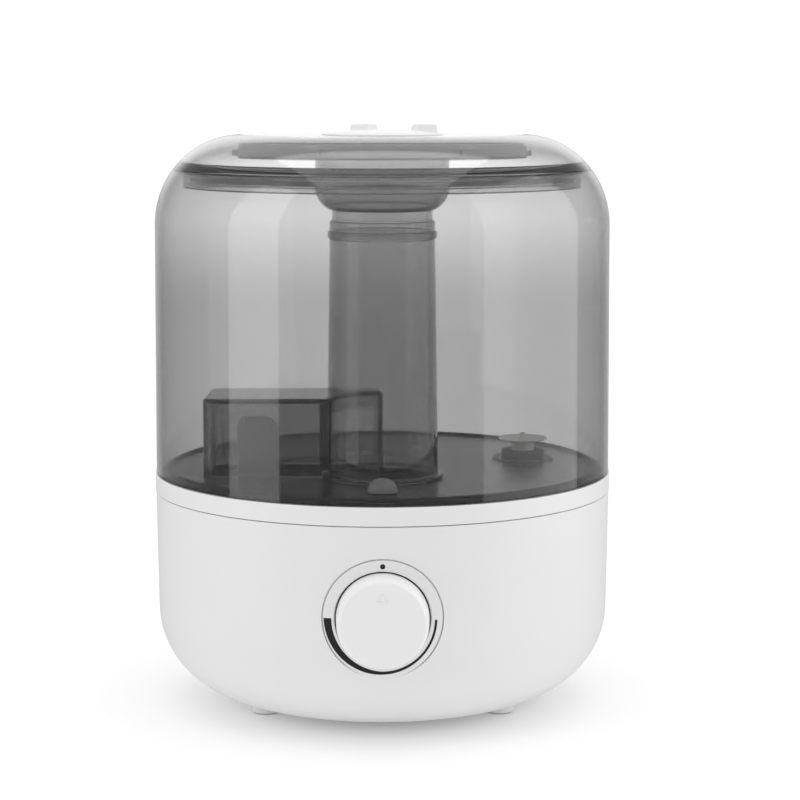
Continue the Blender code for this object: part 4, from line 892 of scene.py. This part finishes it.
@dataclass
class Tank:
    """Smoked tank: wall with a rounded shoulder, floor, mist tube and air box."""

    foot_radius: float = 94.6 * MM
    top_radius: float = 94.0 * MM
    wall: float = 2.2 * MM
    shoulder: tuple = (35.5 * MM, 37.0 * MM)
    straight: float = 102.1 * MM
    lip_depth: float = 7.4 * MM
    shelf: float = 1.3 * MM  # thickness of the ledge between wall and lip
    mouth: float = 80.0 * MM
    floor_rise: float = 1.4 * MM
    floor_thickness: float = 2.3 * MM
    tube_foot: float = 22.6 * MM
    tube_top: float = 21.2 * MM
    tube_wall: float = 1.3 * MM
    flange: float = 24.5 * MM
    box_wall: float = 2.0 * MM
    box_edge: float = 1.6 * MM
    edge: float = 0.3 * MM

    def __post_init__(self) -> None:
        """Reads the heights that the frame gives."""
        self.low, self.seam = low_z("tank_shell"), high_z("tank_shell")
        self.spring_line = self.low + self.straight
        self.floor_top = self.low + self.floor_rise
        self.centre = (self.top_radius - self.shoulder[0], self.spring_line)

    def shoulder_arc(self, inset: float, start: float, end: float, steps: int) -> np.ndarray:
        """Part of the shoulder's ellipse between two heights above the spring line, set in by a wall."""
        radii = (self.shoulder[0] - inset, self.shoulder[1] - inset)
        angles = [math.degrees(math.asin(min(rise / radii[1], 1.0))) for rise in (start, end)]
        return arc(self.centre, radii, angles[0], angles[1], steps)

    def shell(self) -> bpy.types.Object:
        """Wall turned from one section: straight side, shoulder, thick rim at the mouth, lip below it."""
        rise = self.seam - self.spring_line
        lip = self.seam - self.lip_depth
        section = outline(
            (self.foot_radius, self.low, self.edge),
            self.shoulder_arc(0, 0, rise, 24)[:-1],
            (*self.shoulder_arc(0, 0, rise, 24)[-1], 0.25 * MM),
            (self.mouth, self.seam, 0.5 * MM),
            (self.mouth, lip, 0.6 * MM),
            (self.mouth + self.wall, lip, 0.6 * MM),
            (self.mouth + self.wall, self.seam - self.shelf, 0.8 * MM),
            self.shoulder_arc(self.wall, rise - self.shelf, 0, 24),
            (self.foot_radius - self.wall, self.low, self.edge),
        )
        wall = made("tank_wall", turned(section, AXIS, FINEST))
        return dressed(wall, Finishes.SMOKED_SAN, "tank", "tank_shell")

    def air_box_plan(self, inset: float) -> np.ndarray:
        """Plan of the air box: a rectangle with its two left corners rounded."""
        low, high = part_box("air_box")
        radius = 6.0 * MM - inset
        left, right, front, back = low.x + inset, high.x - inset, low.y + inset, high.y - inset
        return np.concatenate(
            [
                np.array([(right, front), (right, back)]),
                arc((left + radius, back - radius), (radius, radius), 90, 180, 8),
                arc((left + radius, front + radius), (radius, radius), 180, 270, 8),
            ]
        )

    def floor(self) -> bpy.types.Object:
        """Disc with a rib above and a standing ring below, and holes for tube, air and valve."""
        edge = self.foot_radius - self.wall - GAP
        top, under = self.floor_top, self.floor_top - self.floor_thickness
        rib, foot, deck = 89.1 * MM, 86.8 * MM, low_z("tank_floor")
        section = outline(
            (0, top),
            (rib - 0.8 * MM, top, 0.6 * MM),
            (rib - 0.5 * MM, top + 1.15 * MM, 0.4 * MM),
            (rib + 0.5 * MM, top + 1.15 * MM, 0.4 * MM),
            (rib + 0.8 * MM, top, 0.6 * MM),
            (edge, top, self.edge),
            (edge, under, self.edge),
            (foot + 1.25 * MM, under),
            (foot + 1.25 * MM, deck, self.edge),
            (foot - 1.25 * MM, deck, self.edge),
            (foot - 1.25 * MM, under),
            (0, under),
            closed=False,
        )
        floor = made("tank_base", turned(section, AXIS, FINE), ring=False)
        valve = middle("valve_seat")
        inner, outer, kerb = 12.0 * MM, 13.2 * MM, top + MM
        soft = 0.4 * MM
        ring = outline((inner, top - GAP), (outer, top - GAP), (outer, kerb, soft), (inner, kerb, soft))
        combined(floor, made("ring", turned(ring, valve[:2], MEDIUM)), "UNION")
        for place, radius in ((MIST_AXIS, 21.3 * MM), (valve[:2], 7.0 * MM)):
            combined(floor, rod("hole", radius, under - MM, top + MM, place, MEDIUM), "DIFFERENCE")
        air = prism("air", self.air_box_plan(self.box_wall), under - 1.5 * MM, top + 1.5 * MM)
        combined(floor, air, "DIFFERENCE")
        return dressed(floor, Finishes.FLOOR_SAN, "tank", "tank_floor")

    def tube_section(self, grow: float) -> tuple:
        """Outside of the mist tube with its foot flange, made larger by a clearance."""
        low, high = low_z("mist_tube"), high_z("mist_tube")
        return (
            (self.flange + grow, low - grow),
            (self.flange + grow, low + self.tube_wall + grow, 0.4 * MM),
            (self.tube_foot + grow, low + self.tube_wall + grow, 0.8 * MM),
            (self.tube_top + grow, high + grow, 0.3 * MM),
        )

    def air_box(self) -> bpy.types.Object:
        """Rounded box, hollow and open below, cut back round the tube: loops lofted in over a rounded top."""
        low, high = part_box("air_box")
        turn = arc((0, 0), (self.box_edge, self.box_edge), 0, 90, 6)
        plans = [self.air_box_plan(0)] + [self.air_box_plan(self.box_edge - step[0]) for step in turn]
        heights = [low.z] + [high.z - self.box_edge + step[1] for step in turn]
        box = made("air_channel", capped(stacked(plans, heights)), ring=False)
        hollow = prism("hollow", self.air_box_plan(self.box_wall), low.z - MM, high.z - self.box_wall)
        combined(box, hollow, "DIFFERENCE")
        plan = rounded_rectangle(3.0 * MM, 14.0 * MM, 0.6 * MM) + np.array([-23.9 * MM, low.y + 7.6 * MM])
        combined(box, prism("rib", plan, low.z + 3.5 * MM, high.z - MM), "UNION")
        roof = high_z("mist_tube") + GAP
        section = outline((0, low.z - MM), *self.tube_section(GAP), (0, roof), closed=False)
        combined(box, made("room", turned(section, MIST_AXIS, MEDIUM), ring=False), "DIFFERENCE")
        return dressed(box, Finishes.DEEP_SAN, "tank", "air_box")

    def tube(self) -> None:
        """Tapered tube with a foot flange and a rounded window into the air box, and its collar."""
        low, high = low_z("mist_tube"), high_z("mist_tube")
        foot, top = self.tube_foot - self.tube_wall, self.tube_top - self.tube_wall
        section = outline((foot, low, 0.2 * MM), *self.tube_section(0), (top, high, 0.3 * MM))
        tube = made("mist_pipe", turned(section, MIST_AXIS, FINE))
        front, back = (corner.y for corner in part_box("air_box"))
        side = rounded_rectangle(back - front - 8.0 * MM, 22.4 * MM, 5.0 * MM)
        side += np.array([(front + back) / 2, low + 13.8 * MM])
        grid = np.stack([np.c_[np.full(len(side), x), side] for x in (-32.0 * MM, -4.0 * MM)])
        combined(tube, made("window", capped(grid), ring=False), "DIFFERENCE")
        dressed(tube, Finishes.DEEP_SAN, "tank", "mist_tube")
        low, high = low_z("tube_collar"), high_z("tube_collar")
        band, step = 22.0 * MM, low + 2.6 * MM
        section = outline(
            (top, low, 0.2 * MM),
            (band, low, 0.2 * MM),
            (band, step, 0.2 * MM),
            (self.tube_top, step, 0.2 * MM),
            (self.tube_top, high, 0.4 * MM),
            (top, high, 0.2 * MM),
        )
        collar = made("pipe_collar", turned(section, MIST_AXIS, FINE))
        dressed(collar, Finishes.DEEP_SAN, "tank", "tube_collar")

    def dome(self) -> bpy.types.Object:
        """Frosted half-round button over the indicator light."""
        place, low = middle("light_dome"), low_z("light_dome")
        crown = arc((0, low), (6.0 * MM, 5.4 * MM), 0, 90, 16)
        section = outline((0, low), crown, closed=False)
        button = made("light_button", turned(section, place[:2], MEDIUM), ring=False)
        return dressed(button, Finishes.FROSTED_SAN, "tank", "light_dome")

    def build(self) -> None:
        """Builds every fixed piece of the tank."""
        self.shell()
        self.floor()
        self.air_box()
        self.tube()
        self.dome()


@dataclass
class Valve:
    """Self-closing valve in the tank's floor."""

    umbrella: float = 10.6 * MM
    seat: float = 9.1 * MM
    seat_bore: float = 5.4 * MM
    coil: float = 3.6 * MM
    wire: float = 0.35 * MM

    def build(self) -> None:
        """Builds the seat ring, the umbrella, and the spring's wire as a circle carried along a helix."""
        place = middle("valve_seat")[:2]
        low, high = low_z("valve_seat"), high_z("valve_seat")
        section = outline(
            (self.seat_bore, low, 0.3 * MM),
            (self.seat, low, 0.3 * MM),
            (self.seat, high, 0.6 * MM),
            (self.seat_bore, high, 0.4 * MM),
        )
        ring = made("valve_ring", turned(section, place, MEDIUM))
        dressed(ring, Finishes.BLACK_RUBBER, "tank", "valve_seat")
        bottom, top = low_z("valve_umbrella"), high_z("valve_umbrella")
        face = high + 3.3 * MM
        neck = self.seat_bore - 0.6 * MM
        section = outline(
            (0, face - 1.0 * MM),
            (2.3 * MM, face - 1.0 * MM),
            (2.3 * MM, bottom, 0.2 * MM),
            (neck, bottom, 0.4 * MM),
            (neck, face, 0.3 * MM),
            (6.8 * MM, face + 0.1 * MM, 1.0 * MM),
            (self.umbrella, face + 1.3 * MM, 0.1 * MM),
            (self.umbrella - 0.2 * MM, face + 1.7 * MM, 0.1 * MM),
            (6.6 * MM, face + 0.8 * MM, 1.0 * MM),
            (2.4 * MM, face + 0.7 * MM, 0.5 * MM),
            (1.5 * MM, face + 1.4 * MM, 0.5 * MM),
            (1.0 * MM, top, 0.6 * MM),
            (0, top),
            closed=False,
        )
        flap = made("valve_flap", turned(section, place, MEDIUM), ring=False)
        dressed(flap, Finishes.SILICONE, "valve", "valve_umbrella")
        low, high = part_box("valve_spring")
        turn = np.linspace(0, 4 * math.tau, 240)
        height = np.linspace(low.z + 0.4 * MM, high.z - 0.4 * MM, 240)
        across = place[0] + self.coil * np.cos(turn), place[1] + self.coil * np.sin(turn)
        path = np.stack([*across, height], axis=1)
        spring = made("valve_coil", carried(path, self.wire), ring=False)
        dressed(spring, Finishes.PLATED_STEEL, "tank", "valve_spring")


@dataclass
class Lid:
    """Clear lid with its white top plate, tray, mist cup and turning nozzle."""

    tank: Tank
    wall: float = 2.0 * MM
    plate: float = 58.4 * MM
    nozzle_radius: float = 24.0 * MM
    tray_radius: float = 59.7 * MM
    sleeve: float = 20.2 * MM
    clips: int = 6

    def dome(self) -> bpy.types.Object:
        """Ring that carries the tank's shoulder on to the top, with a skirt that drops into the mouth."""
        tank = self.tank
        low, top = tank.seam + GAP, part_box("lid_dome")[1].z
        start, rise = low - tank.spring_line, top - tank.spring_line
        hole, skirt_low = self.plate + GAP, low_z("lid_dome")
        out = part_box("lid_seal")[1].x - 1.4 * MM + GAP
        section = outline(
            tank.shoulder_arc(0, start, rise, 28)[:-1],
            (hole, top, 0.2 * MM),
            (hole, top - self.wall, 0.2 * MM),
            tank.shoulder_arc(self.wall, rise - self.wall, start + self.wall, 20)[1:],
            (out - self.wall, low + self.wall, 1.0 * MM),
            (out - self.wall, skirt_low, 0.4 * MM),
            (out, skirt_low, 0.4 * MM),
            (out, low, 0.3 * MM),
        )
        ring = made("lid_ring", turned(section, AXIS, FINEST))
        return dressed(ring, Finishes.PALE_SAN, "lid", "lid_dome")

    def top_plate(self) -> bpy.types.Object:
        """White disc, crowned by half a millimetre, with a round hole for the nozzle."""
        low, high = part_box("lid_top_plate")
        section = outline(
            (0, low.z),
            (self.plate, low.z, 0.3 * MM),
            (self.plate, high.z - 0.5 * MM, 0.3 * MM),
            (self.plate * 0.55, high.z - 0.12 * MM),
            (0, high.z),
            closed=False,
        )
        plate = made("top_disc", turned(section, AXIS, FINE), ring=False)
        wide = self.nozzle_radius + GAP
        combined(plate, rod("hole", wide, low.z - MM, high.z + MM, MIST_AXIS, FINE), "DIFFERENCE")
        return dressed(plate, Finishes.SATIN_ABS, "lid", "lid_top_plate")

    def tray(self) -> bpy.types.Object:
        """Shallow tray with snap clips spaced evenly round its wall and a hole over the cup."""
        low, high = low_z("lid_tray"), high_z("lid_tray")
        inner = self.tray_radius - self.wall
        section = outline(
            (0, low),
            (self.tray_radius, low, 0.6 * MM),
            (self.tray_radius, high, 0.3 * MM),
            (inner, high, 0.3 * MM),
            (inner, low + 1.6 * MM, 0.6 * MM),
            (0, low + 1.6 * MM),
            closed=False,
        )
        tray = made("mist_tray", turned(section, AXIS, FINE), ring=False)
        plan = rounded_rectangle(4.2 * MM, 6.6 * MM, 0.4 * MM) + np.array([self.tray_radius + 0.1 * MM, 0])
        clip = capped(stacked([plan, plan], [low + 1.2 * MM, low + 3.8 * MM]))
        for number in range(self.clips):
            angle = math.tau * number / self.clips + math.radians(3.5)
            turn = Matrix.Translation((0, AXIS[1], 0)) @ Matrix.Rotation(angle, 4, "Z")
            combined(tray, made("clip", placed(clip, turn), ring=False), "UNION")
        combined(tray, rod("hole", self.sleeve, low - MM, low + 3 * MM, MIST_AXIS, MEDIUM), "DIFFERENCE")
        return dressed(tray, Finishes.GREY_ABS, "lid", "lid_tray")

    def cup(self) -> bpy.types.Object:
        """Round cup whose lower corner turns in to the sleeve that meets the mist tube."""
        low, high = low_z("mist_cup"), high_z("mist_cup")
        radius, corner, wall, sleeve = 26.8 * MM, 10 * MM, 1.6 * MM, self.sleeve
        bottom = low + 3.1 * MM
        centre = (radius - corner, bottom + corner)
        across = math.degrees(math.acos((sleeve - centre[0]) / corner))
        inside = corner - wall
        across_in = math.degrees(math.acos((sleeve - wall - centre[0]) / inside))
        section = outline(
            (radius, high, 0.3 * MM),
            arc(centre, (corner, corner), 0, -across, 12),
            (sleeve, low, 0.3 * MM),
            (sleeve - wall, low, 0.3 * MM),
            arc(centre, (inside, inside), -across_in, 0, 10),
            (radius - wall, high, 0.3 * MM),
        )
        bowl = made("mist_bowl", turned(section, MIST_AXIS, FINE))
        return dressed(bowl, Finishes.CLARIFIED_POLYPROPYLENE, "lid", "mist_cup")

    def spout(self, x: float, y: float, turn: float, base: float, roof: float) -> tuple:
        """A leaning square spout and its bore, as closed grids of rounded squares lofted upwards.

        Args:
            x: place beside the nozzle's axis.
            y: place behind the nozzle's axis.
            turn: turn about the vertical, in degrees.
            base: height of its foot.
            roof: height of its mouth.

        Returns:
            The grids of the outside and of the bore.
        """
        lean = math.copysign(0.48 * MM, x)
        side, top, soft = 9.6 * MM, 8.4 * MM, 0.6 * MM
        steps = [
            (side, 0.0, base - MM),
            (side, 0.0, base),
            (top, lean, roof - soft),
            (top - soft * 0.6, lean, roof - soft * 0.25),
            (top - soft * 2, lean, roof),
        ]
        loops = [rounded_rectangle(s, s, s * 0.16) + np.array([shift, 0]) for s, shift, _ in steps]
        bore = rounded_rectangle(6.2 * MM, 4.4 * MM, 1.4 * MM) + np.array([lean, 0])
        place = Matrix.Translation((MIST_AXIS[0] + x, MIST_AXIS[1] + y, 0))
        matrix = place @ Matrix.Rotation(math.radians(turn), 4, "Z")
        outer = capped(stacked(loops, [height for _, _, height in steps]))
        inner = capped(stacked([bore, bore], [base - 4 * MM, roof + MM]))
        return placed(outer, matrix), placed(inner, matrix)

    def nozzle(self) -> bpy.types.Object:
        """Low turned dome with a skirt, and two square spouts that lean outwards."""
        low, high = low_z("mist_nozzle"), high_z("mist_nozzle")
        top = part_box("lid_dome")[1].z
        crown, edge = top + 2.5 * MM, top + 0.8 * MM
        skirt, inner, shelf = 20.2 * MM, 18.6 * MM, top - 2.0 * MM
        swell = arc((0, edge), (self.nozzle_radius - 0.6 * MM, crown - edge), 90, 8, 24)
        section = outline(
            swell,
            (self.nozzle_radius, edge, 0.3 * MM),
            (self.nozzle_radius, shelf, 0.3 * MM),
            (skirt, shelf),
            (skirt, low, 0.3 * MM),
            (inner, low, 0.3 * MM),
            (inner, shelf),
            (0, shelf + 1.2 * MM),
            closed=False,
        )
        nozzle = made("nozzle", turned(section, MIST_AXIS, FINE), ring=False)
        places = ((-7.0 * MM, 3.0 * MM, -30.0), (16.5 * MM, -2.5 * MM, 18.0))
        grids = [self.spout(*place, edge, high) for place in places]
        for outer, _ in grids:
            combined(nozzle, made("spout", outer, ring=False), "UNION")
        for _, bore in grids:
            combined(nozzle, made("bore", bore, ring=False), "DIFFERENCE")
        return dressed(nozzle, Finishes.SATIN_ABS, "nozzle", "mist_nozzle")

    def build(self) -> None:
        """Builds the lid and the nozzle."""
        self.dome()
        self.top_plate()
        self.tray()
        self.cup()
        self.nozzle()


@dataclass
class Workings:
    """Pieces whose frame shape is right and which only need their finish."""

    def finishes(self) -> dict[Finishes, tuple[str, ...]]:
        """Nodes of the frame by finish."""
        screws = tuple(f"cover_screw_{number}" for number in range(1, 5))
        pads = tuple(f"foot_pad_{number}" for number in range(1, 5))
        return {
            Finishes.GREY_ABS: (
                *("bottom_cover", "transducer_clamp", "board_plug", "fan_duct"),
                *("float_ring", "float_cap", "valve_guide", "valve_plunger"),
            ),
            Finishes.PLATED_STEEL: (*screws, "pot_nut", "knob_shaft"),
            Finishes.ALUMINIUM: ("heat_sink", "fan_motor", "float_magnet"),
            Finishes.SILVERED_BRASS: ("transducer_disc",),
            Finishes.COPPER: ("choke_coil",),
            Finishes.BOARD: ("driver_board",),
            Finishes.GREY_RUBBER: (*pads, "transducer_gasket"),
            Finishes.BLACK_NYLON: ("dial_pot", "capacitor", "level_switch", "fan_frame", "fan_impeller"),
            Finishes.FROSTED_SAN: ("indicator_light",),
            Finishes.SILICONE: ("lid_seal",),
        }

    def build(self) -> None:
        """Gives each of these nodes its material."""
        for finish, nodes in self.finishes().items():
            for node in nodes:
                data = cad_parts[node].data
                data.materials.clear()
                data.materials.append(finish.value.material())
                LOG.info("%s: %s", node, finish.value.name)


# ---------------------------------------------------------------- studio


@dataclass(frozen=True)
class StudioPaper(Finish):
    """Matt white paper that fades into the lit backdrop further out, so that no horizon shows."""

    near: float = 0.005  # where the fade starts, metres from the middle
    far: float = 0.18  # where it is complete
    glow: float = 1.04
    mirrored_glow: float = 0.35

    def complete(self, tree: bpy.types.NodeTree, shader: bpy.types.Node) -> None:
        """Mixes the paper with the backdrop's own light by distance from the middle, dim when mirrored."""
        place = add(tree, "ShaderNodeTexCoord").outputs["Object"]
        length = add(tree, "ShaderNodeVectorMath", links={0: place}, operation="LENGTH").outputs["Value"]
        fade = {"From Min": self.near, "From Max": self.far}
        smooth = add(tree, "ShaderNodeMapRange", fade, {"Value": length}, interpolation_type="SMOOTHSTEP")
        glossy = add(tree, "ShaderNodeLightPath").outputs["Is Glossy Ray"]
        glow = add(tree, "ShaderNodeMix", {2: self.glow, 3: self.mirrored_glow}, {0: glossy}).outputs[0]
        light = add(tree, "ShaderNodeEmission", {"Color": WHITE}, {"Strength": glow})
        links = {0: smooth.outputs[0], 1: shader.outputs[0], 2: light.outputs[0]}
        mixed = add(tree, "ShaderNodeMixShader", links=links)
        add(tree, "ShaderNodeOutputMaterial", links={"Surface": mixed.outputs[0]})


@dataclass
class Studio:
    """Pale floor, soft light and the camera."""

    floor_radius: float = 0.55
    lens: float = 103.34
    place: tuple = (0.0, -0.9546, 0.25285)
    tilt: float = 82.4
    turn: float = -0.44
    diffuse_level: float = 0.60  # the surroundings as matt surfaces see them
    seen_level: float = 1.1  # the same as the camera sees them
    bounces: int = 24

    def floor(self) -> None:
        """Paper floor: a thin disc."""
        section = outline((0, 0), (self.floor_radius, 0), (self.floor_radius, -MM), (0, -MM), closed=False)
        disc = made("floor", turned(section - np.array([0, 0.05 * MM]), AXIS, MEDIUM), ring=False)
        paper = StudioPaper("studio_paper", "", "F7F7F7", 0.8, relief=0.0, mottle=0.01)
        disc.data.materials.append(paper.material())

    def area(self, name: str, place: tuple, size: tuple, radiance: float) -> None:
        """A soft rectangular light aimed at the object's middle, unseen by the camera.

        Args:
            name: the light's name.
            place: its middle.
            size: width and height.
            radiance: brightness of its face; the power is radiance times pi times its area.
        """
        data = bpy.data.lights.new(name, "AREA")
        data.shape, data.size, data.size_y = "RECTANGLE", size[0], size[1]
        data.energy = radiance * math.pi * size[0] * size[1]
        lamp = bpy.data.objects.new(name, data)
        lamp.location = place
        aim = Vector((0, AXIS[1], place[2] if name != "top_light" else 0)) - Vector(place)
        lamp.rotation_euler = aim.to_track_quat("-Z", "Y").to_euler()
        lamp.visible_camera = False
        bpy.context.scene.collection.objects.link(lamp)

    def lights(self) -> None:
        """Two tall side lights that reach below the table, and a broad one overhead."""
        far, height = 1.8, 0.75
        for name, start, end, radiance in (("left_light", -51, -80, 1.35), ("right_light", 50, 112, 0.95)):
            turn, half = math.radians((start + end) / 2), math.radians(abs(end - start) / 2)
            place = (far * math.sin(turn), AXIS[1] - far * math.cos(turn), height)
            self.area(name, place, (2 * far * math.tan(half), 2.5), radiance)
        self.area("top_light", (0, -0.1, 1.9), (1.8, 1.8), 1.6)

    def world(self) -> None:
        """White surroundings: brighter behind the object near eye height, dimmer in reflections."""
        world = bpy.data.worlds.new("studio")
        world.use_nodes = True
        tree = world.node_tree
        tree.nodes.clear()
        ray = add(tree, "ShaderNodeLightPath")
        way = add(tree, "ShaderNodeTexCoord").outputs["Generated"]
        split = add(tree, "ShaderNodeSeparateXYZ", links={0: way})

        def ramp(socket: object, start: float, end: float, low: float, high: float) -> object:
            """Smooth step of a value from low to high between start and end."""
            values = {"From Min": start, "From Max": end, "To Min": low, "To Max": high}
            node = add(tree, "ShaderNodeMapRange", values, {"Value": socket}, interpolation_type="SMOOTHSTEP")
            return node.outputs[0]

        def product(one: object, two: object) -> object:
            """One value times another."""
            return add(tree, "ShaderNodeMath", links={0: one, 1: two}, operation="MULTIPLY").outputs[0]

        def mixed(factor: object, values: dict, links: dict) -> object:
            """A value below and one above, mixed by a factor."""
            return add(tree, "ShaderNodeMix", values, {0: factor} | links).outputs[0]

        behind = ramp(split.outputs["Z"], -0.092, -0.045, 1.0, 1.63)
        above = ramp(split.outputs["Z"], 0.02, 0.10, 1.0, 0.62)
        behind = product(behind, above)
        mirrored = ramp(split.outputs["Z"], -0.02, 0.16, 0.60, 1.25)
        mirrored = product(mirrored, ramp(split.outputs["Y"], 0.80, 0.96, 0.4, 1.0))
        level = mixed(ray.outputs["Is Glossy Ray"], {2: self.diffuse_level}, {3: mirrored})
        level = mixed(ray.outputs["Is Transmission Ray"], {}, {2: level, 3: behind})
        level = mixed(ray.outputs["Is Camera Ray"], {3: self.seen_level}, {2: level})
        background = add(tree, "ShaderNodeBackground", {"Color": WHITE}, {"Strength": level})
        add(tree, "ShaderNodeOutputWorld", links={"Surface": background.outputs[0]})
        bpy.context.scene.world = world

    def camera(self) -> None:
        """Camera at a little over the object's height, looking slightly down."""
        data = bpy.data.cameras.new("camera")
        data.lens = self.lens
        camera = bpy.data.objects.new("camera", data)
        camera.location = (self.place[0], AXIS[1] + self.place[1], self.place[2])
        camera.rotation_euler = (math.radians(self.tilt), 0, math.radians(self.turn))
        bpy.context.scene.collection.objects.link(camera)
        bpy.context.scene.camera = camera

    def build(self) -> None:
        """Sets up the whole studio, and enough bounces for light to cross every clear wall."""
        self.camera()
        self.floor()
        self.lights()
        self.world()
        scene = bpy.context.scene
        scene.view_settings.view_transform = "Standard"
        scene.cycles.max_bounces = self.bounces
        scene.cycles.transmission_bounces = self.bounces


def main() -> None:
    """Builds the studio and every sub-assembly."""
    logging.basicConfig(level=logging.INFO, format="%(message)s", stream=sys.stdout)
    Studio().build()
    base = Base()
    dial = Dial(base)
    tank = Tank()
    for assembly in (dial, Socket(), tank, Valve(), Lid(tank), Workings()):
        assembly.build()
    base.build(dial)


if __name__ == "__main__":
    main()
